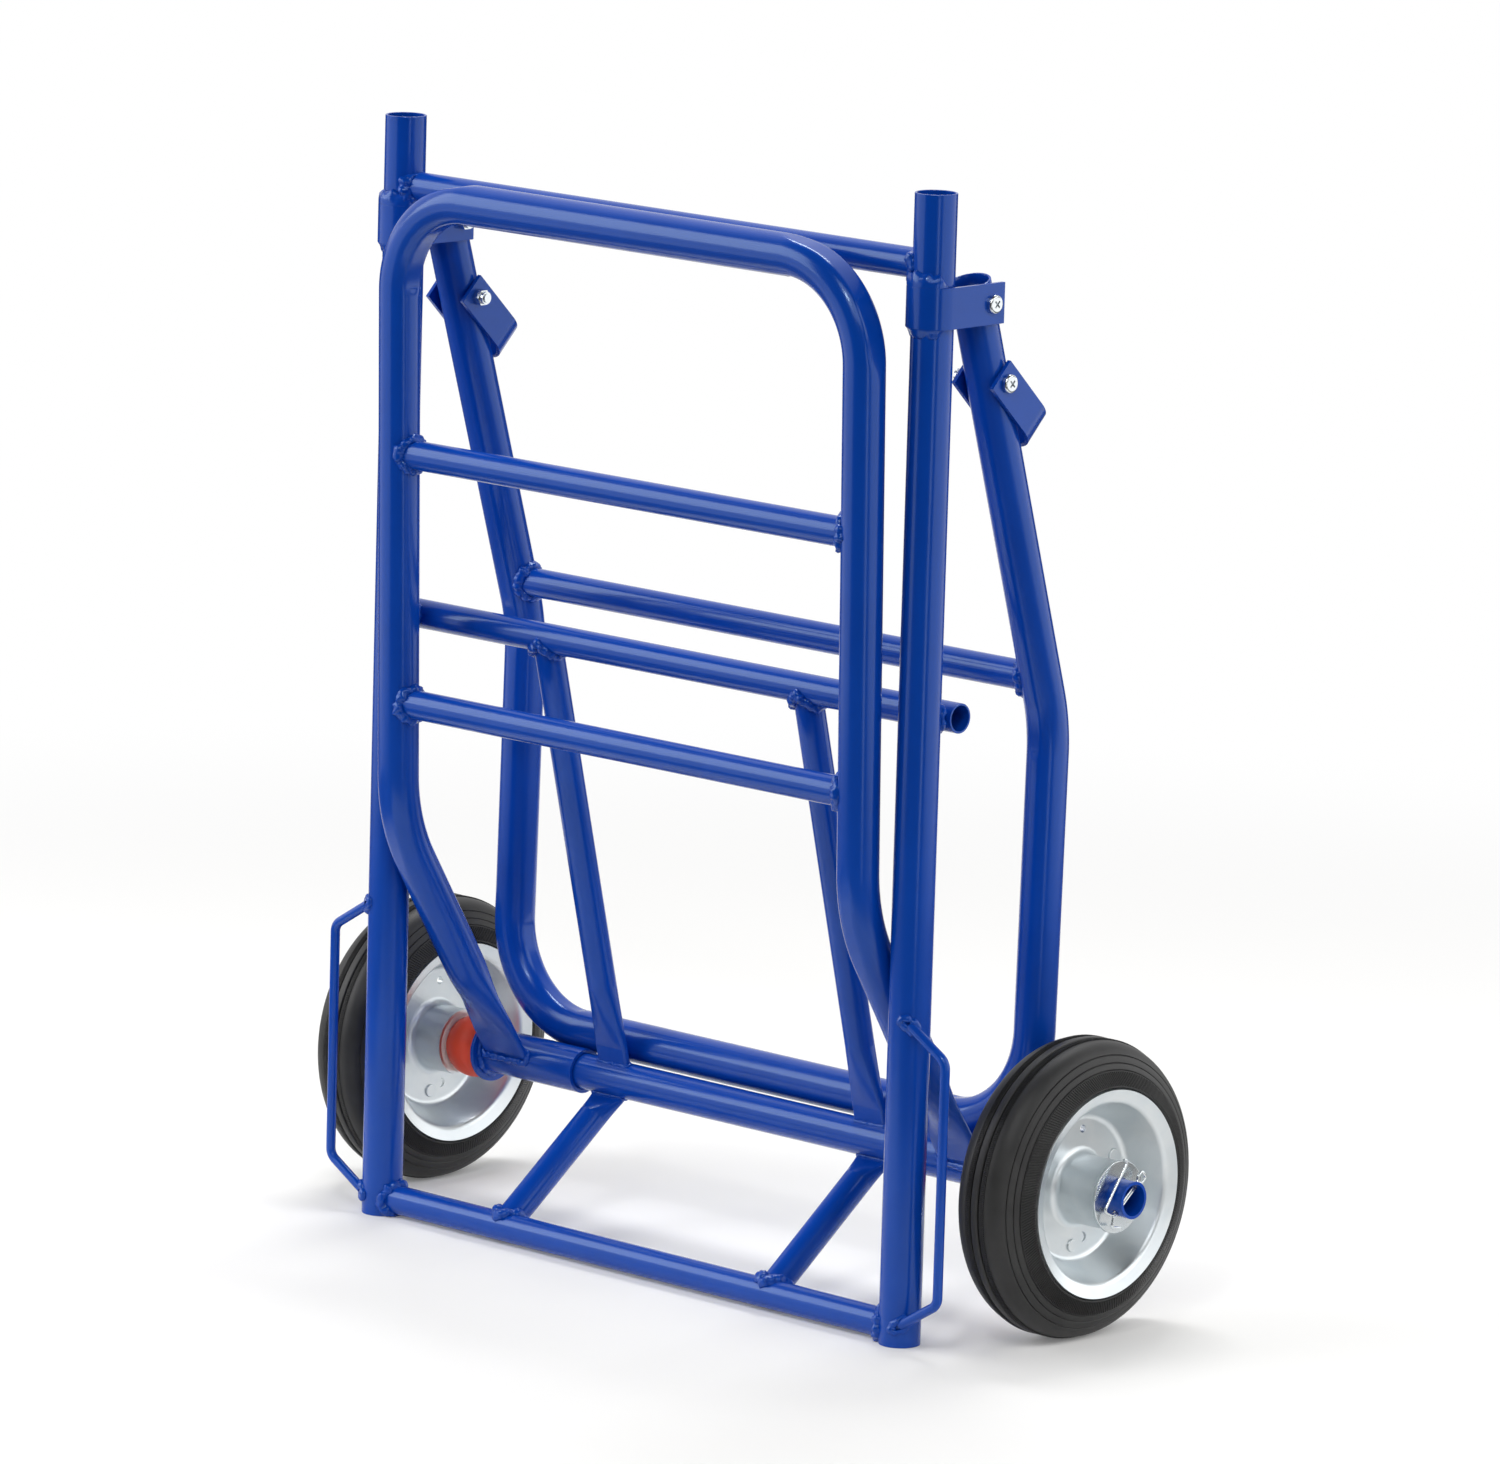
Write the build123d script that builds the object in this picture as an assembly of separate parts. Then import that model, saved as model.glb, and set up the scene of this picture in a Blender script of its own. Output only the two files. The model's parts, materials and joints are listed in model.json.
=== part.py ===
from build123d import *
from math import asin, atan2, cos, degrees, hypot, pi, radians, sin, sqrt, tan
import os

# Folding two-wheeled hand cart in its folded stand: load frame up in front, handle down behind.
# Millimetres, +X to the right seen from the front, +Y to the back, +Z up, floor at Z 0.
# Places are worked out with Y 0 in the plane of the uprights, and moved to mid depth when written.

# Tube stock and flattened tube ends
main_od = 28.0
main_wall = 1.5
thin_od = 20.0
thin_wall = 1.5
axle_od = 25.0
axle_wall = 2.0
squeeze_gap = 2.0
main_squeeze = 70.0
main_flat = 14.0
strut_squeeze = 45.0
strut_flat = 12.0
brace_squeeze = 18.0
brace_flat = 3.0

# Clearances: weld seams, pivots, pressed pieces, pieces strung on the axle, surfaces at rest
weld_gap = 0.1
run_gap = 0.1
press_gap = 0.02
side_gap = 0.4
rest_gap = 0.3

# Uprights and cross tubes
upright_x = 240.0
upright_height = 760.0
top_tube_drop = 47.5
middle_tube_z = 416.0
middle_overhang = 14.0
bottom_tube_z = 11.25
strut_x = 119.0
brace_x = 123.0
brace_sink = 4.5

# Side loops of bent rod
loop_rod = 6.5
loop_y = -10.0
loop_start = 10.0
loop_reach = 41.0
loop_low_z = 16.0
loop_high_z = 216.0
loop_slant = 19.0
loop_bend = 9.0

# Wheels
tyre_od = 200.0
tyre_setback = 4.0
tread_width = 5.6
groove_width = 1.2
groove_slope = 0.2
groove_depth = 2.5
knurl_width = 4.0
knurl_drop = 0.6
knurl_slope = 0.2
shoulder_width = 40.0
shoulder_drop = 8.3
shoulder_radius = 14.0
tyre_width = 58.4
flank_foot = 1.5
tyre_foot = 13.5
rim_od = 140.0
rim_sheet = 2.0
lip_x = 28.5
flange_width = 8.5
flange_dish = 3.0
rim_depth = 21.0
neck_od = 46.0
hub_outer = 35.5
hub_inner = 29.5
neck_bend = 6.0
well_bend = 6.0
crease_bend = 5.0
bush_length = 20.0
rivet_count = 3
rivet_first = 25.0
rivet_shank = 6.0
rivet_head = 9.0
rivet_head_height = 1.4
rivet_round = 0.9
jig_hole = 5.5
jig_angle = 84.0
crescent_od = 7.0
crescent_shift = 2.2
crescent_angle = -78.0
crescent_inset = 3.5

# Pieces strung on the axle
sleeve_od = 31.0
sleeve_length = 87.0
sleeve_inset = 4.0
flange_od = 44.0
flange_thickness = 3.0
ball_od = 43.5
ball_length = 28.0
washer_od = 48.5
washer_thickness = 2.5
washer_to_pin = 6.1
pin_to_end = 7.0

# Split pins
pin_wire = 2.0
pin_leg_gap = 0.1
pin_hole_gap = 0.2
pin_angle = 39.0
pin_bend = 2.0
pin_eye_start = 2.5
pin_eye_flare = 2.5
pin_eye_length = 4.8
pin_eye_half = 3.2
pin_tail = 3.5
long_prong_lean = 15.6
long_prong_clear = 0.4
long_prong_foot = 7.3
long_prong_tip = 4.3
prong_hook = (-2.9, 3.6)
short_prong_turn = (-5.5, -4.0)
short_prong_tip = (5.7, -6.5)

# Load frame
leg_gap = 1.0
frame_top_drop = 48.6
frame_top_gap = 9.5
frame_bend_z = 281.0
frame_bend_gap = 7.7
frame_corner = 65.0
frame_bend_radius = 120.0
frame_foot_sink = 5.0
rung_upper_z = 536.0
rung_lower_z = 364.6

# Handle and its hinges
hinge_y = 39.0
hinge_drop = 73.5
strap_thickness = 3.0
ear_gap = 0.5
ear_beyond = 11.0
bracket_height = 27.0
handle_lean = 17.25
handle_overhang = 14.0
handle_upper = 301.5
handle_bend_radius = 130.0
handle_corner = 70.0
handle_bar_angle = 49.1
handle_cross_rise = 32.4

# Lock bails
bail_drop = 55.7
bail_width = 24.0
bail_gap = 1.0
bail_straight = 36.5
bail_beyond = 9.0

# Screws and lock nuts
bolt_d = 6.0
bolt_head = 12.5
bolt_head_height = 3.6
bolt_head_round = 2.0
bolt_tail = 1.0
recess_length = 6.0
recess_width = 1.3
recess_depth = 1.8
recess_angle = 45.0
nut_flats = 10.0
nut_height = 5.0
nut_collar = 8.6
nut_collar_height = 2.5

main_r = main_od / 2
thin_r = thin_od / 2
axle_r = axle_od / 2
tyre_r = tyre_od / 2


def across(x):
    """Sideways offset, added to a place in the side view."""
    return Vector(x, 0, 0)


def side_direction(angle):
    """Unit direction in the side view, in degrees from the back towards up."""
    return Vector(0, cos(radians(angle)), sin(radians(angle)))


def rod(start, end, diameter):
    """Round bar between two points."""
    run = end - start
    return extrude(Plane(origin=start, z_dir=run) * Circle(diameter / 2), run.length)


def tube(start, end, od, wall):
    """Straight tube between two points."""
    return rod(start, end, od) - rod(start, end, od - 2 * wall)


def bent_rod(points, radii, diameter):
    """Round bar along straight runs with rounded corners."""
    path = FilletPolyline(*points, radius=radii)
    return sweep(Plane(origin=path @ 0, z_dir=path % 0) * Circle(diameter / 2), path=path)


def round_section(plane, diameter):
    """Circle drawn as four arcs, to pair with the four pieces of a flat section."""
    r = diameter / 2
    k = r * sqrt(0.5)
    pieces = [
        ThreePointArc((-k, k), (0, r), (k, k)),
        ThreePointArc((k, k), (r, 0), (k, -k)),
        ThreePointArc((k, -k), (0, -r), (-k, -k)),
        ThreePointArc((-k, -k), (-r, 0), (-k, k)),
    ]
    return plane * make_face(pieces)


def flat_section(plane, width, thickness):
    """Flattened tube outline: two straight sides and two round ends."""
    b = thickness / 2
    a = width / 2 - b
    pieces = [
        Line((-a, b), (a, b)),
        ThreePointArc((a, b), (a + b, 0), (a, -b)),
        Line((a, -b), (-a, -b)),
        ThreePointArc((-a, -b), (-a - b, 0), (-a, b)),
    ]
    return plane * make_face(pieces)


def squeezed_bar(start, end, diameter, width, thickness, run):
    """Bar that goes from round at start to flat over a run, then stays flat up to end."""
    ahead = (end - start).normalized()
    turn = start + ahead * run
    round_plane = Plane(origin=start, x_dir=(1, 0, 0), z_dir=ahead)
    flat_plane = Plane(origin=turn, x_dir=(1, 0, 0), z_dir=ahead)
    flat_face = flat_section(flat_plane, width, thickness)
    taper = loft([round_section(round_plane, diameter), flat_face])
    return taper + extrude(flat_face, (end - turn).length)


def squeezed_end(start, end, od, wall, run):
    """Tube end squeezed flat, its girth kept."""
    thickness = squeeze_gap + 2 * wall
    width = thickness + pi * (od - thickness) / 2
    outer = squeezed_bar(start, end, od, width, thickness, run)
    return outer - squeezed_bar(start, end, od - 2 * wall, width - 2 * wall, squeeze_gap, run)


def ring(x_low, x_high, od, bore):
    """Plain ring round the axle line, between two places along X."""
    return tube(across(x_low) + axle, across(x_high) + axle, od, (od - bore) / 2)


def mirrored(shape):
    """The same piece on the left side."""
    return mirror(shape, about=Plane.YZ)


# Places in the side view
axle = Vector(0, tyre_r + tyre_setback, tyre_r)
top_tube = Vector(0, 0, upright_height - top_tube_drop)
middle_tube = Vector(0, main_r + thin_r + weld_gap, middle_tube_z)
bottom_tube = Vector(0, 0, bottom_tube_z)
hinge = Vector(0, hinge_y, upright_height - hinge_drop)
handle_down = side_direction(handle_lean - 90)
handle_end = hinge - handle_down * handle_overhang
handle_bend = hinge + handle_down * handle_upper
handle_cross = handle_bend - handle_down * handle_cross_rise
handle_bar = axle + side_direction(handle_bar_angle) * (sleeve_od / 2 + main_r + rest_gap)
bail_pivot = hinge + handle_down * bail_drop
frame_top = Vector(0, -(thin_r + frame_top_gap + main_r), upright_height - frame_top_drop)
frame_bend = Vector(0, -(main_r + frame_bend_gap), frame_bend_z)

# The load frame's feet pass in front of the axle line by less than the sleeve's radius.
frame_to_axle = axle - frame_bend
frame_foot_offset = sleeve_od / 2 - frame_foot_sink
frame_foot_turn = asin(frame_foot_offset / frame_to_axle.length)
frame_foot_angle = degrees(atan2(frame_to_axle.Z, frame_to_axle.Y) - frame_foot_turn)
frame_foot_direction = side_direction(frame_foot_angle)
frame_foot = frame_bend + frame_foot_direction * (frame_to_axle.length * cos(frame_foot_turn))

# Places along the axle, from the sleeve outwards
sleeve_outer = upright_x - sleeve_inset
flange_outer = sleeve_outer + flange_thickness
ball_inner = flange_outer + side_gap
ball_outer = ball_inner + ball_length
wheel_x = ball_outer + side_gap + hub_inner
washer_inner = wheel_x + hub_outer + side_gap
washer_outer = washer_inner + washer_thickness
pin_x = washer_outer + washer_to_pin
axle_end = pin_x + pin_to_end

# Half gaps and outer faces of the bent straps
bracket_inner = main_r + ear_gap
bracket_outer = bracket_inner + strap_thickness
bail_inner = main_r + bail_gap
bail_outer = bail_inner + strap_thickness

# The cart's depth runs from the load frame's top bar to the back of the tyres.
depth_middle = (frame_top.Y - main_r + axle.Y + tyre_r) / 2
to_mid_depth = Pos(0, -depth_middle, 0)


def save(name, *pieces):
    """Write one node; a group of like pieces shares a node."""
    solids = [solid for piece in pieces for solid in (to_mid_depth * piece).solids()]
    shape = solids[0] if len(solids) == 1 else Compound(children=solids)
    export_step(shape, f"parts/{name}.step")


def save_pair(name, piece):
    """Write a right-hand piece and its mirror image as two nodes."""
    save(f"{name}_right", piece)
    save(f"{name}_left", mirrored(piece))


def cope(place_a, place_b, diameter):
    """Cutter that shapes a tube end to sit on a bar, with the weld gap."""
    return rod(place_a, place_b, diameter + 2 * weld_gap)


def upright():
    """Right upright, open at both ends."""
    return tube(across(upright_x), Vector(upright_x, 0, upright_height), main_od, main_wall)


def upright_cutter(x):
    """Cutter for tube ends that meet an upright."""
    return cope(across(x), Vector(x, 0, upright_height), main_od)


def upright_cross_tube(place):
    """Cross tube between the uprights, coped to both."""
    bar = tube(place + across(-upright_x), place + across(upright_x), thin_od, thin_wall)
    return bar - upright_cutter(upright_x) - upright_cutter(-upright_x)


def middle_cross_tube():
    """Cross tube welded across the backs of the uprights, open at both ends."""
    half = upright_x + middle_overhang
    return tube(middle_tube + across(-half), middle_tube + across(half), thin_od, thin_wall)


def axle_tube():
    """Axle with a split pin hole through each end."""
    axle_bar = tube(axle + across(-axle_end), axle + across(axle_end), axle_od, axle_wall)
    hole_d = 2 * pin_wire + pin_leg_gap + 2 * pin_hole_gap
    along = side_direction(pin_angle) * axle_od
    for x in (-pin_x, pin_x):
        centre = axle + across(x)
        axle_bar -= rod(centre - along, centre + along, hole_d)
    return axle_bar


def axle_stay(x, origin, offset, squeeze_run, flat_run):
    """Thin tube from a cross tube to the axle, passing under the axle line by an offset."""
    to_axle = axle - origin
    turn = asin(offset / to_axle.length)
    ahead = side_direction(degrees(atan2(to_axle.Z, to_axle.Y) - turn))
    reach = to_axle.length * cos(turn)
    weld_reach = sqrt(axle_r ** 2 - offset ** 2)
    start = origin + across(x)
    end = start + ahead * reach
    squeeze = end - ahead * (weld_reach + flat_run + squeeze_run)
    stay = tube(start, squeeze, thin_od, thin_wall)
    stay += squeezed_end(squeeze, end, thin_od, thin_wall, squeeze_run)
    stay -= cope(start - across(thin_od), start + across(thin_od), thin_od)
    return stay - cope(axle, axle + across(2 * x), axle_od)


def side_loop():
    """Bent rod welded to the outside of the upright."""
    far = upright_x + loop_reach
    near = upright_x + loop_start
    points = [
        Vector(near, loop_y, loop_high_z),
        Vector(far, loop_y, loop_high_z - loop_slant),
        Vector(far, loop_y, loop_low_z + loop_slant),
        Vector(near, loop_y, loop_low_z),
    ]
    return bent_rod(points, loop_bend, loop_rod) - upright_cutter(upright_x)


def strap_loop(straight, beyond, inner, outer, width):
    """Strap bent into a U round the local origin, with straight ears towards +Y and a screw hole."""
    outside = Circle(outer) + Pos(0, straight / 2) * Rectangle(2 * outer, straight)
    inside = Circle(inner) + Pos(0, straight / 2) * Rectangle(2 * inner, straight)
    hole = rod(Vector(-outer, beyond, 0), Vector(outer, beyond, 0), bolt_d + 2 * run_gap)
    return extrude(outside - inside, width / 2, both=True) - hole


def hinge_bracket():
    """Strap round the front of the upright, with two ears that carry the handle."""
    strap = strap_loop(hinge_y + ear_beyond, hinge_y, bracket_inner, bracket_outer, bracket_height)
    return Pos(upright_x, 0, hinge.Z) * strap


def lock_bail():
    """Strap loop on the handle leg, hanging on the back of the leg."""
    strap = strap_loop(bail_straight + bail_beyond, bail_straight, bail_inner, bail_outer, bail_width)
    reach = bail_straight + bail_inner
    half_width = bail_width / 2
    rest_turn = asin((main_r + rest_gap) / hypot(reach, half_width)) + atan2(half_width, reach)
    rest_angle = handle_lean - 90 + degrees(rest_turn)
    hung = Pos(0, bail_straight, 0) * Rot(0, 0, 180) * strap
    return Pos(across(upright_x) + bail_pivot) * Rot(rest_angle, 0, 0) * hung


def pan_screw(place, outer_face, inner_face):
    """Cross-recess screw along X, its head on the outer face and its tail past the nut."""
    head_start = place + across(outer_face)
    head = rod(head_start, head_start + across(bolt_head_height), bolt_head)
    head = fillet(head.edges().sort_by(Axis.X)[-1], bolt_head_round)
    for turn in (0, 90):
        slot = Box(2 * recess_depth, recess_length, recess_width)
        head -= Pos(head_start + across(bolt_head_height)) * Rot(recess_angle + turn, 0, 0) * slot
    tail = place + across(inner_face - nut_height - nut_collar_height - bolt_tail)
    return head + rod(tail, head_start, bolt_d)


def lock_nut(place, face):
    """Hexagon nut with a round collar, against a face that looks towards -X."""
    plane = Plane(origin=place + across(face), x_dir=(0, 1, 0), z_dir=(-1, 0, 0))
    corner_r = nut_flats / 2 / cos(radians(30))
    body = extrude(plane * RegularPolygon(corner_r, 6), nut_height)
    collar_start = place + across(face - nut_height)
    body += rod(collar_start, collar_start - across(nut_collar_height), nut_collar)
    bore_end = collar_start - across(2 * nut_collar_height)
    return body - rod(place + across(face), bore_end, bolt_d + 2 * press_gap)


def ball_spacer():
    """Ball with flat ends and a bore for the axle."""
    middle = axle + across((ball_inner + ball_outer) / 2)
    ball = Pos(middle) * (Sphere(ball_od / 2) & Box(ball_length, ball_od, ball_od))
    return ball - rod(middle - across(ball_od), middle + across(ball_od), axle_od + 2 * run_gap)


def split_pin():
    """Bent wire pin: eye at the back, long prong folded up beside the axle, short one under it."""
    leg = (pin_wire + pin_leg_gap) / 2
    eye = axle_r + pin_eye_start
    tail = -(axle_r + pin_tail)
    lean = radians(long_prong_lean)
    prong_rise = (axle_r + pin_wire / 2 + long_prong_clear) / cos(lean)
    foot_u = -(axle_r + long_prong_foot)
    tip_u = axle_r + long_prong_tip
    tip_v = prong_rise + tip_u * tan(lean)
    turn_u = tail + short_prong_turn[0]
    turn_v = -leg + short_prong_turn[1]
    outline = [
        (tip_u + prong_hook[0], tip_v + prong_hook[1]),
        (tip_u, tip_v),
        (foot_u, prong_rise + foot_u * tan(lean)),
        (tail, leg),
        (eye, leg),
        (eye + pin_eye_flare, pin_eye_half),
        (eye + pin_eye_flare + pin_eye_length, pin_eye_half),
        (eye + pin_eye_flare + pin_eye_length, -pin_eye_half),
        (eye + pin_eye_flare, -pin_eye_half),
        (eye, -leg),
        (tail, -leg),
        (turn_u, turn_v),
        (turn_u + short_prong_tip[0], turn_v + short_prong_tip[1]),
    ]
    along = side_direction(pin_angle)
    beside = side_direction(pin_angle + 90)
    centre = axle + across(pin_x)
    return bent_rod([centre + along * u + beside * v for u, v in outline], pin_bend, pin_wire)


def frame_leg_x():
    """The load frame's legs pass just inside the uprights."""
    return upright_x - main_od - leg_gap


def load_frame_tube():
    """U-bent tube: top bar, two legs, and feet squeezed flat onto the sleeves."""
    x = frame_leg_x()
    weld_reach = sqrt((sleeve_od / 2) ** 2 - frame_foot_offset ** 2)
    squeeze = frame_foot - frame_foot_direction * (weld_reach + main_flat + main_squeeze)
    side = [squeeze, frame_bend, frame_top]
    points = [place + across(x) for place in side] + [place + across(-x) for place in side[::-1]]
    radii = [frame_bend_radius, frame_corner, frame_corner, frame_bend_radius]
    frame = bent_rod(points, radii, main_od) - bent_rod(points, radii, main_od - 2 * main_wall)
    for foot_x in (-x, x):
        start = squeeze + across(foot_x)
        frame += squeezed_end(start, frame_foot + across(foot_x), main_od, main_wall, main_squeeze)
    return frame - cope(axle + across(-2 * x), axle + across(2 * x), sleeve_od)


def rung(height):
    """Load frame rung, coped to both legs."""
    x = frame_leg_x()
    share = (height - frame_bend.Z) / (frame_top.Z - frame_bend.Z)
    place = frame_bend + (frame_top - frame_bend) * share
    bar = tube(place + across(-x), place + across(x), thin_od, thin_wall)
    for leg_x in (-x, x):
        bar -= cope(frame_bend + across(leg_x), frame_top + across(leg_x), main_od)
    return bar


def handle_tube():
    """U-bent handle: two legs hung on the hinges, and a bar that rests over the axle sleeves."""
    side = [handle_end, handle_bend, handle_bar]
    points = [place + across(upright_x) for place in side]
    points += [place + across(-upright_x) for place in side[::-1]]
    radii = [handle_bend_radius, handle_corner, handle_corner, handle_bend_radius]
    handle = bent_rod(points, radii, main_od) - bent_rod(points, radii, main_od - 2 * main_wall)
    for place in (hinge, bail_pivot):
        half = across(upright_x + main_od)
        handle -= rod(place - half, place + half, bolt_d + 2 * run_gap)
    return handle


def handle_cross_tube():
    """Cross tube between the handle legs, coped to both."""
    bar = tube(handle_cross - across(upright_x), handle_cross + across(upright_x), thin_od, thin_wall)
    for x in (-upright_x, upright_x):
        bar -= cope(handle_end + across(x), handle_bend + across(x), main_od)
    return bar


lip_r = rim_od / 2
well_r = lip_r - rim_depth
neck_mid_r = (neck_od - rim_sheet) / 2
rivet_circle = (neck_od / 2 + neck_bend + well_r) / 2
crease_x = lip_x - flange_dish
crease_r = lip_r - flange_width


def rim_line(neck_end, lip_extra):
    """Middle line of one pressed rim half, from the hub neck out to the lip (along X, radius)."""
    lip_run = Vector(flange_dish, flange_width)
    lip = Vector(lip_x, lip_r) + lip_run.normalized() * lip_extra
    points = [
        (neck_end, neck_mid_r),
        (rim_sheet / 2, neck_mid_r),
        (rim_sheet / 2, well_r),
        (crease_x, crease_r),
        (lip.X, lip.Y),
    ]
    return FilletPolyline(*points, radius=[neck_bend, well_bend, crease_bend])


def disc_place(angle, radius):
    """Place on a rim disc, seen from its side."""
    return side_direction(angle) * radius


def disc_hole(angle, radius, diameter):
    """Cutter along X through both rim discs."""
    place = disc_place(angle, radius)
    return rod(place - across(2 * rim_sheet), place + across(2 * rim_sheet), diameter)


def rivet_angles():
    """Even steps round the wheel."""
    return [rivet_first + 360 / rivet_count * i for i in range(rivet_count)]


def rim_half(neck_end):
    """Pressed rim half on the +X side of the wheel's middle plane."""
    half = revolve(trace(rim_line(neck_end, 0), rim_sheet), axis=Axis.X)
    for angle in rivet_angles():
        half -= disc_hole(angle, rivet_circle, rivet_shank + 2 * press_gap)
    half -= disc_hole(jig_angle, rivet_circle, jig_hole)
    crescent_r = rivet_circle - crescent_inset
    crescent = disc_hole(crescent_angle, crescent_r, crescent_od)
    crescent -= Pos(0, -crescent_shift, 0) * disc_hole(crescent_angle, crescent_r, crescent_od)
    return half - crescent


def rim_rivets():
    """Clinch rivets through both rim discs."""
    rivets = []
    for angle in rivet_angles():
        place = disc_place(angle, rivet_circle)
        shank = rod(place - across(rim_sheet), place + across(rim_sheet), rivet_shank)
        head = rod(place + across(rim_sheet), place + across(rim_sheet + rivet_head_height), rivet_head)
        head = fillet(head.edges().sort_by(Axis.X)[-1], rivet_round)
        rivets.append(shank + head + mirrored(head))
    return rivets


def tyre():
    """Solid rubber tyre: ribbed tread, round shoulders, sloped sides, foot between the rim halves."""
    tread = tread_width / 2
    groove_out = tread + groove_width
    knurl_out = groove_out + knurl_width
    shoulder_start = (knurl_out, tyre_r - knurl_drop - knurl_slope)
    shoulder_end = (shoulder_width / 2, tyre_r - shoulder_drop)
    foot_r = lip_r - tyre_foot
    foot_share = (foot_r - well_r) / (crease_r - well_r)
    foot_x = rim_sheet / 2 + (crease_x - rim_sheet / 2) * foot_share
    crown = Polyline(
        (0, foot_r),
        (0, tyre_r),
        (tread, tyre_r),
        (tread + groove_slope, tyre_r - groove_depth),
        (groove_out, tyre_r - groove_depth),
        (groove_out, tyre_r - knurl_drop),
        shoulder_start,
    )
    shoulder = RadiusArc(shoulder_start, shoulder_end, shoulder_radius)
    flank = Polyline(
        shoulder_end,
        (tyre_width / 2, lip_r + flank_foot),
        (lip_x, lip_r),
        (crease_x, crease_r),
        (foot_x, foot_r),
        (0, foot_r),
    )
    half = make_face([*crown.edges(), *shoulder.edges(), *flank.edges()])
    half -= trace(rim_line(hub_inner, press_gap), rim_sheet + 2 * press_gap)
    section = max(half.faces(), key=lambda face: face.area)
    right = revolve(section, axis=Axis.X)
    return right + mirrored(right)


def hub_bushes():
    """Two plain bushes pressed into the ends of the hub neck."""
    od = neck_od - 2 * rim_sheet - 2 * press_gap
    wall = (od - axle_od) / 2 - run_gap
    outer = tube(across(hub_outer - bush_length), across(hub_outer), od, wall)
    inner = tube(across(bush_length - hub_inner), across(-hub_inner), od, wall)
    return [outer, inner]


os.makedirs("parts", exist_ok=True)

# Chassis
save_pair("upright", upright())
save("top_cross_tube", upright_cross_tube(top_tube))
save("middle_cross_tube", middle_cross_tube())
save("bottom_cross_tube", upright_cross_tube(bottom_tube))
save("axle_tube", axle_tube())
save_pair("strut", axle_stay(strut_x, middle_tube, 0, strut_squeeze, strut_flat))
save_pair("brace", axle_stay(brace_x, bottom_tube, axle_r - brace_sink, brace_squeeze, brace_flat))
save_pair("side_loop", side_loop())
save_pair("hinge_bracket", hinge_bracket())
hinge_bolt = pan_screw(hinge, upright_x + bracket_outer, upright_x - bracket_outer)
hinge_nut = lock_nut(hinge, upright_x - bracket_outer)
save("hinge_bolts", hinge_bolt, mirrored(hinge_bolt))
save("hinge_nuts", hinge_nut, mirrored(hinge_nut))
save_pair("ball_spacer", ball_spacer())
save_pair("axle_washer", ring(washer_inner, washer_outer, washer_od, axle_od + 2 * run_gap))
save_pair("split_pin", split_pin())

# Load frame
save("load_frame_tube", load_frame_tube())
save("load_frame_rung_upper", rung(rung_upper_z))
save("load_frame_rung_lower", rung(rung_lower_z))
sleeve_bore = axle_od + 2 * run_gap
save_pair("pivot_sleeve", ring(sleeve_outer - sleeve_length, sleeve_outer, sleeve_od, sleeve_bore))
save_pair("sleeve_flange", ring(sleeve_outer, flange_outer, flange_od, sleeve_bore))

# Handle and lock bails
save("handle_tube", handle_tube())
save("handle_cross_tube", handle_cross_tube())
bail_bolt = pan_screw(bail_pivot, upright_x + bail_outer + rest_gap, upright_x - bail_outer - rest_gap)
bail_nut = lock_nut(bail_pivot, upright_x - bail_outer - rest_gap)
save("bail_bolts", bail_bolt, mirrored(bail_bolt))
save("bail_nuts", bail_nut, mirrored(bail_nut))
save_pair("lock_bail", lock_bail())

# Wheels
to_wheel = Pos(axle + across(wheel_x))
save_pair("rim_outer", to_wheel * rim_half(hub_outer))
save_pair("rim_inner", to_wheel * mirrored(rim_half(hub_inner)))
save_pair("tyre", to_wheel * tyre())
for group, pieces in (("rim_rivets", rim_rivets()), ("hub_bushes", hub_bushes())):
    placed = [to_wheel * piece for piece in pieces]
    save(f"{group}_right", *placed)
    save(f"{group}_left", *[mirrored(piece) for piece in placed])
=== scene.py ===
# %% [markdown]
# A folding hand cart in welded, powder-coated tube.
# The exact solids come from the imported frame: tubes, hinges, wheels and screws at their real size.
# This lesson dresses them: paint, zinc and rubber, weld beads, bent tube, ribbed tyres, light and camera.
# All lengths are metres in Blender, so sizes that a maker would give in millimetres are written times MM.

# %% Load the frame
import json
from collections import namedtuple
from math import atan2, ceil, cos, pi, radians, sin, sqrt, tan

import bmesh
import bpy
import numpy as np
from mathutils import Matrix, Vector, noise

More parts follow.
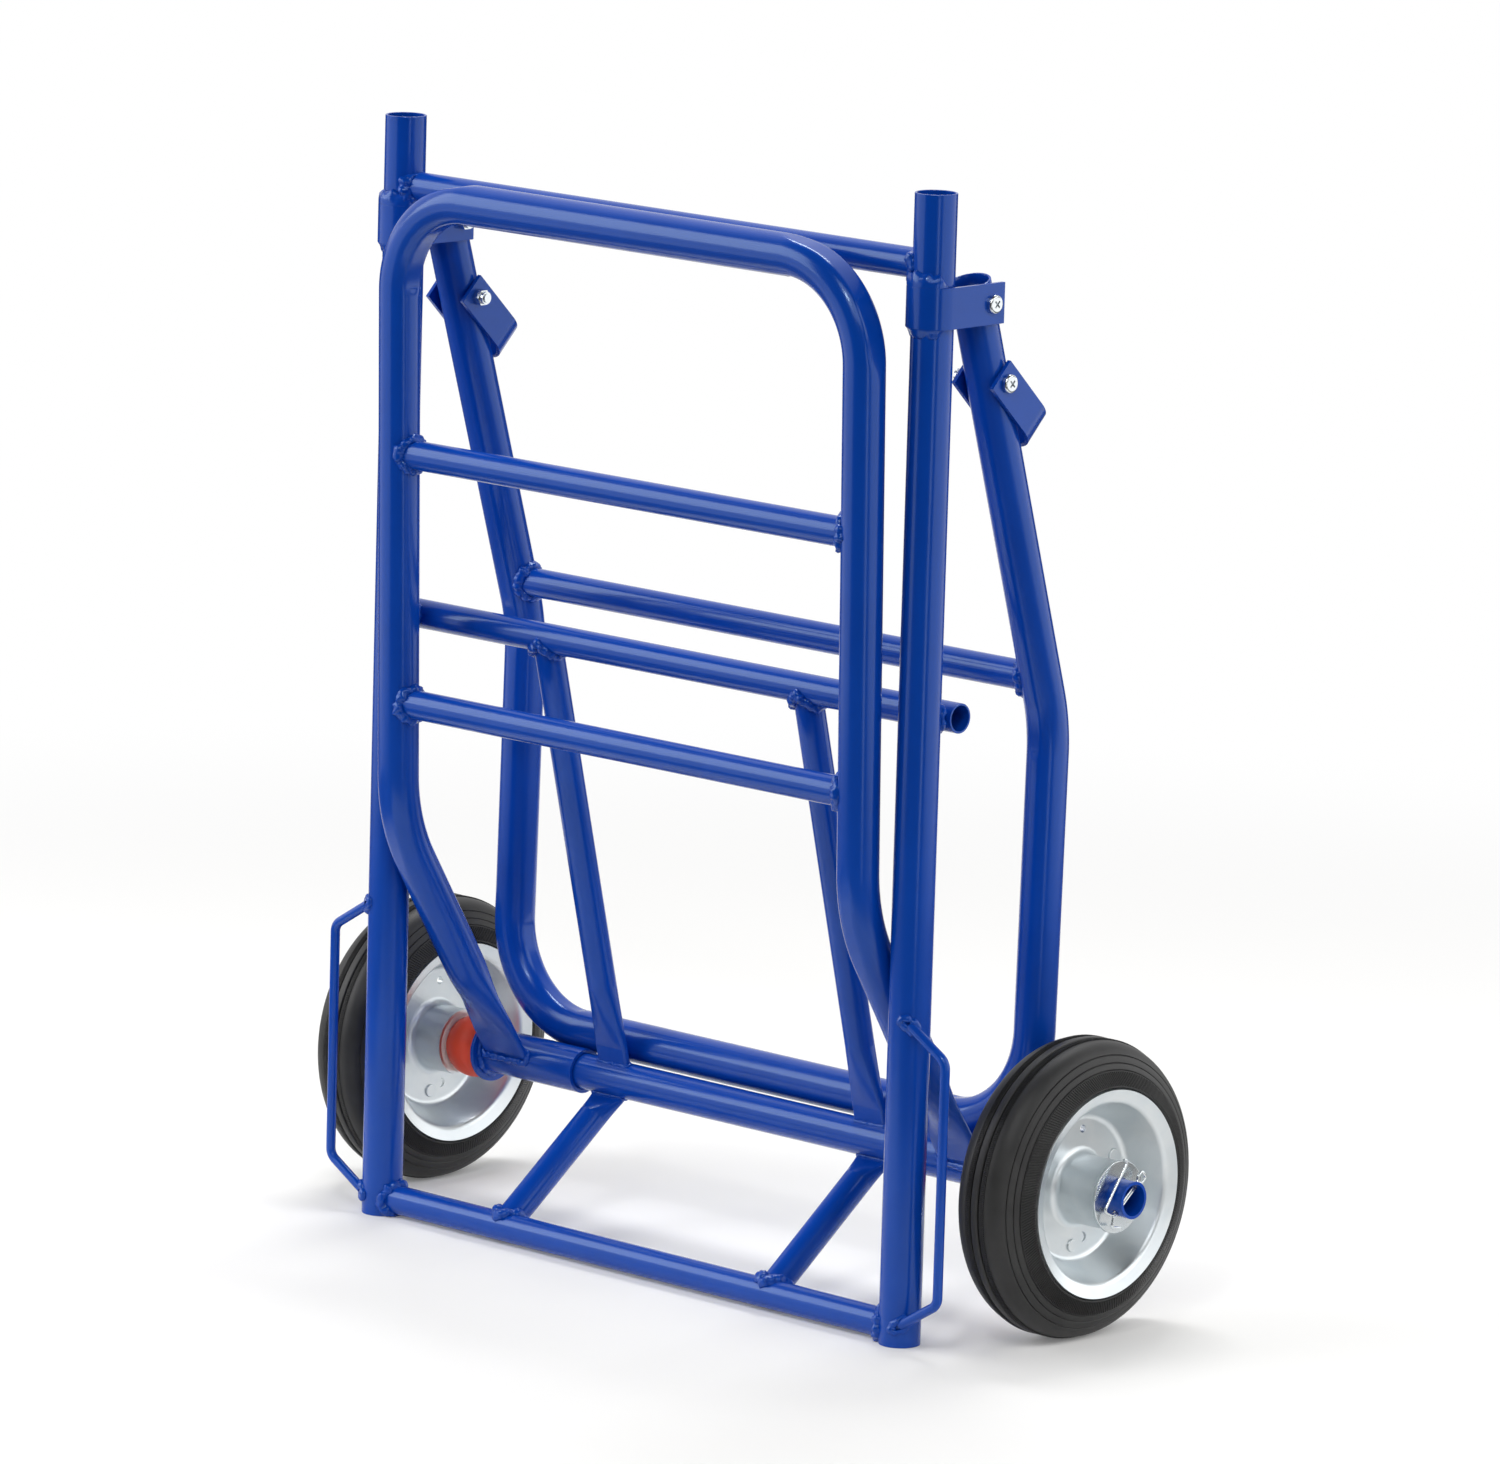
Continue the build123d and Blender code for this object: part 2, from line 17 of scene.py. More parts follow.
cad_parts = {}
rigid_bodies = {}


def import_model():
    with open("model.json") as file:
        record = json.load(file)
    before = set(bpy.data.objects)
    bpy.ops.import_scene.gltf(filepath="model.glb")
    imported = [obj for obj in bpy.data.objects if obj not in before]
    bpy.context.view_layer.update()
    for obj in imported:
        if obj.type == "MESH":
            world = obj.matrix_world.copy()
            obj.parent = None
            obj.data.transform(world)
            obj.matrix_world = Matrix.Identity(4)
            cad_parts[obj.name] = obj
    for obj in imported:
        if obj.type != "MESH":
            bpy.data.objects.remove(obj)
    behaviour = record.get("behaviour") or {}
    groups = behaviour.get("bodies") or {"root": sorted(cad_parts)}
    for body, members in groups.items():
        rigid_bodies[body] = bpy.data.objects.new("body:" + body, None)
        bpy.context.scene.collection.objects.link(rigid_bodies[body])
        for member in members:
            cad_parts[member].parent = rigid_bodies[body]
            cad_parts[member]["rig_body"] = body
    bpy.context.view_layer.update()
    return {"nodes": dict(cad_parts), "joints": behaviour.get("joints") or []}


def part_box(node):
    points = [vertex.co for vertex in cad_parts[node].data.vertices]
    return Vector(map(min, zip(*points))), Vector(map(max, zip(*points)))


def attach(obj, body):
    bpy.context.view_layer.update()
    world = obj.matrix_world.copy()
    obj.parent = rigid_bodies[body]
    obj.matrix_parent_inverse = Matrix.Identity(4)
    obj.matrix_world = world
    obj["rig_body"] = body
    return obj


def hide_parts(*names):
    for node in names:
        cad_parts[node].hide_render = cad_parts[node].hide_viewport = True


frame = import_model()
MM = 0.001

# %% [markdown]
# The camera stands where the photographer stood: front right, a little above the cart, far away with a
# long lens, so the uprights stay almost parallel. The lens is worked out from the photo's width in pixels.
# A new camera looks straight down, so it is rolled, tipped up and turned, in that order.

# %% Camera
PHOTO_WIDTH = 1500
FOCAL_PIXELS = 9650.97
SENSOR_WIDTH = 36.0
camera_place = Vector((4.3195, -4.6728, 1.5607))
camera_yaw, camera_pitch, camera_roll = 0.7439, 0.1860, 0.0292
scene = bpy.context.scene


def new_object(data):
    """Object for a camera, a lamp or a mesh, named after it and put into the scene."""
    thing = bpy.data.objects.new(data.name, data)
    scene.collection.objects.link(thing)
    return thing


camera = new_object(bpy.data.cameras.new("camera"))
aim = Matrix.Rotation(camera_yaw, 4, "Z") @ Matrix.Rotation(pi / 2 - camera_pitch, 4, "X")
aim = aim @ Matrix.Rotation(camera_roll, 4, "Z")
camera.matrix_world = Matrix.Translation(camera_place) @ aim
camera.data.sensor_width = SENSOR_WIDTH
camera.data.lens = FOCAL_PIXELS / PHOTO_WIDTH * SENSOR_WIDTH
camera.data.clip_end = 200.0
scene.camera = camera
to_camera = Vector((*camera_place.xy, 0)).normalized()
to_right = Vector((-to_camera.y, to_camera.x, 0))
scene.view_settings.view_transform = "Standard"
print("lens", round(camera.data.lens, 1), "mm")

# %% [markdown]
# Node trees get long when every Math node is added by hand. A Wire stands for one output socket, and
# arithmetic on Wires adds the Math nodes by itself. A Sheet is the tree they live in, with one method that
# adds any node and short ones for the commonest. The same pair serves materials and Geometry Nodes.


# %% Node helpers
class Wire:
    """An output socket that can stand in ordinary arithmetic."""

    def __init__(self, sheet, socket):
        self.sheet = sheet
        self.socket = socket

    def math(self, operation, *others):
        """Math node with this Wire first."""
        return self.sheet.math(operation, self, *others)

    def out(self, name):
        """Another output of the same node."""
        return Wire(self.sheet, self.socket.node.outputs[name])

    def __add__(self, other):
        return self.math("ADD", other)

    def __sub__(self, other):
        return self.math("SUBTRACT", other)

    def __rsub__(self, other):
        return self.sheet.math("SUBTRACT", other, self)

    def __mul__(self, other):
        return self.math("MULTIPLY", other)

    def __truediv__(self, other):
        return self.math("DIVIDE", other)

    def __rtruediv__(self, other):
        return self.sheet.math("DIVIDE", other, self)

    __radd__ = __add__
    __rmul__ = __mul__


class Sheet:
    """A node tree under construction."""

    def __init__(self, tree):
        self.tree = tree

    def add(self, kind, inputs=None, output=0, **settings):
        """Add a node: its settings first, then values or Wires for its sockets, by name or number."""
        node = self.tree.nodes.new(kind)
        for name, value in settings.items():
            setattr(node, name, value)
        for key, value in (inputs or {}).items():
            if isinstance(value, Wire):
                self.tree.links.new(value.socket, node.inputs[key])
            else:
                node.inputs[key].default_value = value
        return Wire(self, node.outputs[output]) if node.outputs else node

    def math(self, operation, *values):
        """Arithmetic on numbers or Wires."""
        return self.add("ShaderNodeMath", dict(enumerate(values)), operation=operation)

    def vector(self, operation, *values, output=0):
        """Arithmetic on vectors; an answer that is one number comes out as Value."""
        return self.add("ShaderNodeVectorMath", dict(enumerate(values)), output, operation=operation)

    def xyz(self, x=0.0, y=0.0, z=0.0):
        """Vector from three numbers or Wires."""
        return self.add("ShaderNodeCombineXYZ", {0: x, 1: y, 2: z})

    def mix(self, share, colour_a, colour_b):
        """Blend of two colours."""
        inputs = {0: share, 6: colour_a, 7: colour_b}
        return self.add("ShaderNodeMix", inputs, 2, data_type="RGBA", clamp_factor=True)

    def smooth(self, value, low, high):
        """0 below low, 1 above high, eased in between."""
        inputs = {"Value": value, "From Min": low, "From Max": high}
        return self.add("ShaderNodeMapRange", inputs, interpolation_type="SMOOTHSTEP")

    def noise(self, place, grain, detail, **inputs):
        """Noise whose blotches are about one grain wide."""
        sockets = {"Vector": place, "Scale": 1.0 / grain, "Detail": detail, **inputs}
        return self.add("ShaderNodeTexNoise", sockets)


def rgb(red, green, blue):
    """Linear colour with full alpha."""
    return (red, green, blue, 1.0)


print("helpers ready")

# %% [markdown]
# The stage is a floor of white paper that runs off into white. The paper must show the cart's soft shadow,
# so it mixes matte white with a white glow: mostly matte close to the cart, all glow further away. Only rays
# that picture the paper, straight or mirrored, see the glow. A step to each side and in front a photographer
# lays black cloth on it, which is what the dark bands on the tubes reflect. Like the lamps, the cloth is kept
# out of the picture, and it is clear from below so that the paper under it stays lit.

# %% Floor
FLOOR_HALF = 60.0
GLOW_NEAR, GLOW_START, GLOW_END = 0.12, 0.5, 2.0
CLOTH_HEIGHT = 0.5 * MM
CLOTH_FRONT, CLOTH_SIDE, CLOTH_SPREAD, CLOTH_FADE = 0.58, 0.54, 0.09, 0.25


def level_sheet(name, height, finish):
    """Wide square sheet of the stage at a height."""
    signs = [(-1, -1), (1, -1), (1, 1), (-1, 1)]
    mesh = bpy.data.meshes.new(name)
    mesh.from_pydata([(x * FLOOR_HALF, y * FLOOR_HALF, height) for x, y in signs], [], [(0, 1, 2, 3)])
    mesh.materials.append(finish)
    return new_object(mesh)


def finish_sheet(name):
    """New material with an empty tree, and its Object coordinates."""
    material = bpy.data.materials.new(name)
    material.use_nodes = True
    material.node_tree.nodes.clear()
    sheet = Sheet(material.node_tree)
    return material, sheet, sheet.add("ShaderNodeTexCoord", output="Object")


def white_paper():
    """Matte white paper that glows in pictures of it, away from the cart."""
    material, sheet, place = finish_sheet("white_paper")
    distance = sheet.vector("LENGTH", place, output="Value")
    glow = GLOW_NEAR + (1 - GLOW_NEAR) * sheet.smooth(distance, GLOW_START, GLOW_END)
    path = sheet.add("ShaderNodeLightPath", output="Is Camera Ray")
    seen = path.math("MAXIMUM", path.out("Is Glossy Ray"))
    seen = seen.math("MAXIMUM", path.out("Is Transmission Ray"))
    matte = sheet.add("ShaderNodeBsdfDiffuse", {"Color": rgb(0.9, 0.895, 0.88)})
    white = sheet.add("ShaderNodeEmission", {"Color": rgb(1, 1, 1), "Strength": 1.0})
    surface = sheet.add("ShaderNodeMixShader", {0: glow * seen, 1: matte, 2: white})
    sheet.add("ShaderNodeOutputMaterial", {"Surface": surface})
    return material


def black_cloth():
    """Dark matte cloth round a clear strip for the cart; clear from below."""
    material, sheet, place = finish_sheet("black_cloth")
    front = sheet.vector("DOT_PRODUCT", place, to_camera, output="Value")
    aside = sheet.vector("DOT_PRODUCT", place, to_right, output="Value")
    edge = aside.math("ABSOLUTE") - CLOTH_SIDE + CLOTH_SPREAD * front.math("MINIMUM", 0.0)
    edge = edge.math("MAXIMUM", front - CLOTH_FRONT)
    above = 1.0 - sheet.add("ShaderNodeNewGeometry", output="Backfacing")
    clear = sheet.add("ShaderNodeBsdfTransparent")
    matte = sheet.add("ShaderNodeBsdfDiffuse", {"Color": rgb(0.12, 0.12, 0.12)})
    cover = sheet.smooth(edge, 0.0, CLOTH_FADE) * above
    surface = sheet.add("ShaderNodeMixShader", {0: cover, 1: clear, 2: matte})
    sheet.add("ShaderNodeOutputMaterial", {"Surface": surface})
    return material


floor = level_sheet("floor", 0.0, white_paper())
cloth = level_sheet("cloth", CLOTH_HEIGHT, black_cloth())
cloth.visible_camera = False
print("floor", 2 * FLOOR_HALF, "m wide")

# %% [markdown]
# Gloss paint shows its surroundings more than its own colour. In the photo each vertical tube carries a pale
# band on its left, a dark middle, one thin bright line and a wide pale band on its right. Those are a panel
# on the left, the dark room behind the camera, a strip light and a large panel on the right. A narrow lamp
# above and behind the cart throws its shadow to the front, and a small one over the camera puts sparks on the
# welds. Bearings are degrees round the cart, measured from the camera's side towards its right. A panel's
# power follows from its brightness.

# %% Light
CART_MIDDLE = Vector((0, 0, 0.4))
Panel = namedtuple("Panel", "bearing distance height width tall radiance")
PANELS = {
    "right_low": Panel(81, 1.6, 0.42, 3.2, 0.84, 1.35),
    "right_high": Panel(75, 2.4, 1.9, 2.2, 1.4, 2.0),
    "left_low": Panel(-91, 1.6, 0.42, 2.4, 0.84, 1.05),
    "left_high": Panel(-88, 2.0, 1.45, 1.7, 1.3, 4.0),
    "front_high": Panel(4, 2.6, 2.6, 2.4, 1.8, 2.2),
    "top": Panel(172, 0.95, 2.4, 1.2, 0.4, 17.0),
    "strip": Panel(19.5, 1.6, 0.45, 0.2, 0.9, 2.0),
    "sparkle": Panel(-12, 2.2, 2.3, 0.24, 0.24, 42.0),
}
ROOM_WHITE, ROOM_DARK = 0.9, 0.04
ROOM_TURN = (-0.6, -0.1)

for name, panel in PANELS.items():
    turn = radians(panel.bearing)
    place = (to_camera * cos(turn) + to_right * sin(turn)) * panel.distance + Vector((0, 0, panel.height))
    lamp = bpy.data.lights.new(name, "AREA")
    lamp.shape = "RECTANGLE"
    lamp.size, lamp.size_y = panel.width, panel.tall
    lamp.energy = pi * panel.width * panel.tall * panel.radiance
    light = new_object(lamp)
    light.location = place
    light.rotation_euler = (place - CART_MIDDLE).to_track_quat("Z", "Y").to_euler()
    light.visible_camera = False


def studio_world():
    """White behind the cart, dark behind the camera."""
    world = bpy.data.worlds.new("studio")
    world.use_nodes = True
    world.node_tree.nodes.clear()
    sheet = Sheet(world.node_tree)
    direction = sheet.add("ShaderNodeTexCoord", output="Generated")
    facing = sheet.vector("DOT_PRODUCT", direction, to_camera, output="Value")
    room = ROOM_WHITE - (ROOM_WHITE - ROOM_DARK) * sheet.smooth(facing, *ROOM_TURN)
    glow = sheet.add("ShaderNodeBackground", {"Color": rgb(1, 1, 1), "Strength": room})
    sheet.add("ShaderNodeOutputWorld", {"Surface": glow})
    return world


scene.world = studio_world()
print("lights", [o.name for o in bpy.data.objects if o.type == "LIGHT"])

# %% [markdown]
# Powder coat is a thick gloss skin baked onto the steel. Close up it is faintly rippled, like orange peel,
# and its blue is a little deeper where the powder lies thick. Small noise makes the ripple, large noise the
# depth of colour. The coat's own gloss is a constant of the shader.

# %% Blue powder coat


def close_finish(sheet, inputs):
    """Principled surface at the end of a tree."""
    surface = sheet.add("ShaderNodeBsdfPrincipled", inputs)
    sheet.add("ShaderNodeOutputMaterial", {"Surface": surface})


def bumped(sheet, height, depth, strength):
    """Normal of a surface whose relief is depth high."""
    return sheet.add("ShaderNodeBump", {"Height": height, "Distance": depth, "Strength": strength})


def blue_powder_coat():
    """Gloss ultramarine with a faint orange peel."""
    material, sheet, place = finish_sheet("blue_powder_coat")
    cloud = sheet.noise(place, 60 * MM, 3.0)
    speck = sheet.noise(place, 0.5 * MM, 1.0)
    peel = sheet.noise(place, 2.2 * MM, 1.0)
    colour = sheet.mix(cloud, rgb(0.0008, 0.042, 0.315), rgb(0.0016, 0.058, 0.41))
    colour = sheet.mix(sheet.smooth(speck, 0.6, 0.85) * 0.25, colour, rgb(0.004, 0.075, 0.46))
    close_finish(sheet, {
        "Base Color": colour,
        "Roughness": 0.13 + 0.08 * cloud + 0.05 * speck,
        "Specular Tint": rgb(0.62, 0.83, 1.0),
        "Normal": bumped(sheet, peel + 0.35 * speck, 0.02 * MM, 0.6),
    })
    return material


blue = blue_powder_coat()
print("made", blue.name)

# %% [markdown]
# The tyre is black filled rubber, matte, dusted with bloom, and finely rough from the mould. The rims are
# pressed sheet with bright zinc on it: a metal with a cold tint, cloudy from the bath, with faint rings from
# the press tool. The rings follow the distance from the axle, which both wheels share.

# %% Rubber and zinc
joint_place = {joint["name"]: Vector(joint["pos_m"]) for joint in frame["joints"]}
AXLE_PLACE = joint_place["load_frame_fold"]


def axle_distance(sheet, place):
    """Distance of a point from the axle line."""
    side = sheet.vector("MULTIPLY", place, (0, 1, 1))
    centred = sheet.vector("SUBTRACT", side, (0, *AXLE_PLACE.yz))
    return sheet.vector("LENGTH", centred, output="Value")


def tyre_rubber():
    """Matte black rubber with mould grain and a little bloom."""
    material, sheet, place = finish_sheet("tyre_rubber")
    bloom = sheet.noise(place, 25 * MM, 4.0)
    grain = sheet.noise(place, 0.7 * MM, 2.0)
    colour = sheet.mix(sheet.smooth(bloom, 0.35, 0.75), rgb(0.009, 0.009, 0.0095), rgb(0.019, 0.019, 0.019))
    close_finish(sheet, {
        "Base Color": colour,
        "Roughness": 0.38 + 0.16 * bloom + 0.08 * grain,
        "Normal": bumped(sheet, grain, 0.04 * MM, 0.5),
    })
    return material


def zinc_plate(name, low_rough, high_rough, ring_depth):
    """Bright zinc: cold and cloudy, with rings round the axle."""
    material, sheet, place = finish_sheet(name)
    cloud = sheet.noise(place, 22 * MM, 4.0, Distortion=0.6)
    frost = sheet.noise(place, 1.2 * MM, 3.0)
    rings = sheet.noise(sheet.xyz(axle_distance(sheet, place)), 0.8 * MM, 3.0)
    colour = sheet.mix(cloud, rgb(0.58, 0.64, 0.68), rgb(0.76, 0.78, 0.78))
    close_finish(sheet, {
        "Base Color": colour,
        "Metallic": 1.0,
        "Roughness": low_rough + (high_rough - low_rough) * (0.6 * cloud + 0.4 * frost),
        "Normal": bumped(sheet, rings + 0.3 * frost, ring_depth, 0.5),
    })
    return material


rubber = tyre_rubber()
zinc_sheet = zinc_plate("zinc_sheet", 0.27, 0.44, 0.02 * MM)
zinc_screw = zinc_plate("zinc_screw", 0.14, 0.3, 0.01 * MM)
print("made", rubber.name, zinc_sheet.name, zinc_screw.name)

# %% [markdown]
# Two plastics: the orange-red ball that keeps the wheel off the frame, with a soft sheen, and the pale nylon
# of the bushes. Moulded plastic is never quite even, so a slow noise shifts its tone and gloss.

# %% Plastics


def moulded_plastic(name, dark, pale, roughness):
    """Satin plastic with a slow change of tone."""
    material, sheet, place = finish_sheet(name)
    tone = sheet.noise(place, 14 * MM, 3.0)
    grain = sheet.noise(place, 0.6 * MM, 2.0)
    close_finish(sheet, {
        "Base Color": sheet.mix(tone, dark, pale),
        "Roughness": roughness + 0.12 * tone + 0.06 * grain,
        "Normal": bumped(sheet, grain, 0.02 * MM, 0.4),
    })
    return material


orange = moulded_plastic("orange_plastic", rgb(0.78, 0.055, 0.02), rgb(0.9, 0.085, 0.03), 0.3)
nylon = moulded_plastic("bush_nylon", rgb(0.62, 0.6, 0.55), rgb(0.75, 0.74, 0.7), 0.4)
print("made", orange.name, nylon.name)

# %% [markdown]
# Each solid now takes its finish. A node's name says what it is made of, so a short table of name starts
# is enough. The solids' own shapes stay as they are.

# %% Finishes for the solids
FINISHES = [
    (("tyre",), rubber, "tyre_rubber"),
    (("rim_",), zinc_sheet, "zinc_steel"),
    (("axle_washer", "split_pin", "hinge_bolts", "hinge_nuts", "bail_bolts", "bail_nuts"),
     zinc_screw, "zinc_steel"),
    (("ball_spacer",), orange, "orange_plastic"),
    (("hub_bushes",), nylon, "bush_nylon"),
]


def finish_of(node):
    """Material and record slot for a node, by the start of its name."""
    for starts, material, slot in FINISHES:
        if node.startswith(starts):
            return material, slot
    return blue, "blue_paint"


for node, solid in frame["nodes"].items():
    for material_slot in solid.material_slots:
        material_slot.material = finish_of(node)[0]
print("finished", len(frame["nodes"]), "solids")

# %% [markdown]
# The load frame and the handle are each bent from one length of tube. A bend is never quite round: the former
# presses its inside flat with a sharp end mark, and the stretched outside sinks into a longer flat that fades
# out a little past the bend. Curve bevels keep every section round, so the skin is laid here ring by ring
# along the bent path, and each ring is cut off softly on both sides of its bend.

# %% Bent tube helpers
RING_POINTS = 64
BEND_STEP, RUN_STEP = 2.5 * MM, 4 * MM
X_AXIS, Z_AXIS = Vector((1, 0, 0)), Vector((0, 0, 1))
NO_BEND = Vector((0, 0, 0))
Bend = namedtuple("Bend", "corner radius mark")
Station = namedtuple("Station", "place heading to_centre way mark")


def bent_path(start, bends, end):
    """Stations along runs and round bends; way tells how far inside its nearest bend a station lies."""
    stations = []
    corners = [start] + [bend.corner for bend in bends] + [end]
    tail, last_inward, last_mark = start, NO_BEND, 0.0

    def run(head, inward, mark):
        heading = (head - tail).normalized()
        count = max(1, ceil((head - tail).length / RUN_STEP))
        for i in range(count + 1):
            behind, ahead = ((head - tail).length * share for share in (i / count, 1 - i / count))
            near = (last_inward, -behind, last_mark) if behind < ahead else (inward, -ahead, mark)
            stations.append(Station(tail.lerp(head, i / count), heading, *near))

    for before, bend, after in zip(corners, bends, corners[2:]):
        heading, exit_heading = (bend.corner - before).normalized(), (after - bend.corner).normalized()
        turn = heading.angle(exit_heading)
        reach = bend.radius * tan(turn / 2)
        inward = (exit_heading - heading * cos(turn)).normalized()
        first = bend.corner - heading * reach
        run(first, inward, bend.mark)
        count = ceil(bend.radius * turn / BEND_STEP)
        for i in range(1, count):
            angle = turn * i / count
            to_centre = inward * cos(angle) - heading * sin(angle)
            place = first + (inward - to_centre) * bend.radius
            way = bend.radius * min(angle, turn - angle)
            ahead = heading * cos(angle) + inward * sin(angle)
            stations.append(Station(place, ahead, to_centre, way, bend.mark))
        tail = bend.corner + exit_heading * reach
        last_inward, last_mark = inward * cos(turn) - heading * sin(turn), bend.mark
    run(end, NO_BEND, 0.0)
    return stations


def ease(share):
    """Smooth step from 0 to 1."""
    share = min(1.0, max(0.0, share))
    return share * share * (3 - 2 * share)


def flat_point(share, half_run, half_thick):
    """Point on a flattened tube's outline, at a share of its girth from the end of its long axis."""
    half_girth = 2 * half_run + pi * half_thick
    way = share * 2 * half_girth
    sign, along = (1, way) if way < half_girth else (-1, way - half_girth)
    run = min(max(0.0, along - pi * half_thick / 2), 2 * half_run)
    angle = (along - run) / half_thick
    return sign * (half_run - run + half_thick * cos(angle)), sign * half_thick * sin(angle)


Press = namedtuple("Press", "side depth start run")
PRESSES = [Press(1, 1.7 * MM, -1 * MM, 5 * MM), Press(-1, 2.4 * MM, -9 * MM, 20 * MM)]
PRESS_BLEND = 0.9 * MM


def soft_limit(value, limit, blend):
    """Value held below a limit, eased over a blend."""
    share = min(1.0, max(0.0, 0.5 + 0.5 * (limit - value) / blend))
    return limit + (value - limit) * share - blend * share * (1 - share)


def pressed(offset, station, radius):
    """A skin point's offset once the bend has flattened the inside and the outside of the tube."""
    for press in PRESSES:
        share = ease((station.way - press.start) / press.run) * station.mark
        reach = press.side * offset.dot(station.to_centre)
        if share and reach > 0:
            held = soft_limit(reach, radius - press.depth * share, PRESS_BLEND * share)
            offset = offset + station.to_centre * press.side * (held - reach)
    return offset


def tube_rings(stations, radius, flat_share=None, flat_thick=0.0):
    """Rings of a tube's skin, pressed at its bends; flat_share squeezes stretches of the tube."""
    half_thick = flat_thick / 2
    half_run = pi * (radius - half_thick) / 2
    rings = []
    side, last_heading = X_AXIS, stations[0].heading
    for index, station in enumerate(stations):
        side = last_heading.rotation_difference(station.heading) @ side
        last_heading = station.heading
        other = station.heading.cross(side)
        flat = flat_share[index] if flat_share else 0.0
        ring = []
        for k in range(RING_POINTS):
            share = k / RING_POINTS
            u, v = radius * cos(2 * pi * share), radius * sin(2 * pi * share)
            if flat:
                flat_u, flat_v = flat_point(share, half_run, half_thick)
                u, v = u + (flat_u - u) * flat, v + (flat_v - v) * flat
            ring.append(station.place + pressed(side * u + other * v, station, radius))
        rings.append(ring)
    return rings


def skin_mesh(name, rings, loop):
    """Quads between rings; a loop joins the last ring to the first, otherwise both ends are capped."""
    sides = len(rings[0])
    faces = []
    for i in range(len(rings) if loop else len(rings) - 1):
        a, b = i * sides, (i + 1) % len(rings) * sides
        faces += [(a + k, a + (k + 1) % sides, b + (k + 1) % sides, b + k) for k in range(sides)]
    if not loop:
        faces.append(tuple(reversed(range(sides))))
        faces.append(tuple((len(rings) - 1) * sides + k for k in range(sides)))
    mesh = bpy.data.meshes.new(name)
    mesh.from_pydata([point for ring in rings for point in ring], [], faces)
    mesh.polygons.foreach_set("use_smooth", [True] * len(faces))
    return mesh


def dressed(piece, body, slot, *nodes):
    """A piece that now rides on a body and may stand for solids; slot is not used."""
    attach(piece, body)
    if nodes:
        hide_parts(*nodes)
    return piece


def placed(mesh, material, body, slot, *nodes):
    """A new piece with its finish, dressed."""
    mesh.materials.clear()
    mesh.materials.append(material)
    return dressed(new_object(mesh), body, slot, *nodes)


print("ring points", RING_POINTS)

# %% [markdown]
# Sizes are read off the solids where a box gives them: a tube's centre line is the middle of its box and
# its radius half the box across it. What a box can't tell, such as a bend's height, is named at first use.

# %% Places read from the frame


def middle(node):
    """Centre of a solid's box."""
    low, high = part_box(node)
    return (low + high) / 2


def half_size(node):
    """Half of a solid's box: the radius of a tube, across it."""
    low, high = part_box(node)
    return (high - low) / 2


def at_side(place, x):
    """A place moved to a distance from the middle."""
    return Vector((x, place.y, place.z))


upright_middle = middle("upright_right")
main_radius = half_size("upright_right").x
thin_radius = half_size("top_cross_tube").z
axle_radius = half_size("axle_tube").z
sleeve_radius = half_size("pivot_sleeve_right").z
hinge_place = joint_place["handle_fold"]
tube_wall = 1.5 * MM
squeezed_thick = 5 * MM
print("radii in mm", [round(radius / MM, 2) for radius in (main_radius, thin_radius, sleeve_radius)])

# %% [markdown]
# The load frame: a U of tube whose corners are pressed on the inside, and whose feet are squeezed flat where
# they meet the pivot sleeves. The squeeze keeps the tube's girth, so the flat end is wider than the tube.

# %% Load frame tube
leg_gap, bend_forward, bend_height, foot_sink = 1 * MM, 7.7 * MM, 281 * MM, 5 * MM
frame_corner, frame_bend_radius = 65 * MM, 120 * MM
foot_flat, foot_taper, foot_stop = 25.4 * MM, 70 * MM, 10.5 * MM
leg_mark, frame_corner_mark = 0.35, 1.0
frame_leg_x = upright_middle.x - 2 * main_radius - leg_gap
frame_low, frame_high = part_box("load_frame_tube")
frame_top = Vector((0, frame_low.y + main_radius, frame_high.z - main_radius))
frame_bend = Vector((0, upright_middle.y - main_radius - bend_forward, bend_height))


def passing_heading(start, target, offset):
    """Heading from start that passes below or in front of a target line by an offset, and the way to it."""
    reach = (target - start).yz
    turn = np.arcsin(offset / reach.length)
    angle = atan2(reach.y, reach.x) - turn
    return Vector((0, cos(angle), sin(angle))), reach.length * cos(turn)


foot_heading, foot_way = passing_heading(frame_bend, AXLE_PLACE, sleeve_radius - foot_sink)
frame_foot = frame_bend + foot_heading * (foot_way - foot_stop)


def u_path(side, x, leg_radius, corner_radius, corner_mark):
    """Stations of a U of tube: up the right leg, across, and down the left leg."""
    right = [at_side(place, x) for place in side]
    left = [at_side(place, -x) for place in side[::-1]]
    bends = [Bend(right[1], leg_radius, leg_mark), Bend(right[2], corner_radius, corner_mark)]
    bends += [Bend(left[0], corner_radius, corner_mark), Bend(left[1], leg_radius, leg_mark)]
    return bent_path(right[0], bends, left[2])


def squeeze_shares(stations, flat, taper):
    """How far each station is squeezed: fully over the flat at both ends, fading over the taper."""
    ways = [0.0]
    for start, end in zip(stations, stations[1:]):
        ways.append(ways[-1] + (end.place - start.place).length)
    return [1 - ease((min(way, ways[-1] - way) - flat) / taper) for way in ways]


frame_side = [frame_foot, frame_bend, frame_top]
stations = u_path(frame_side, frame_leg_x, frame_bend_radius, frame_corner, frame_corner_mark)
shares = squeeze_shares(stations, foot_flat - foot_stop, foot_taper)
rings = tube_rings(stations, main_radius, shares, squeezed_thick)
load_frame_mesh = skin_mesh("load_frame_bent_tube", rings, loop=False)
placed(load_frame_mesh, blue, "load_frame", "blue_paint", "load_frame_tube")
print("load frame tube", len(load_frame_mesh.polygons), "faces")

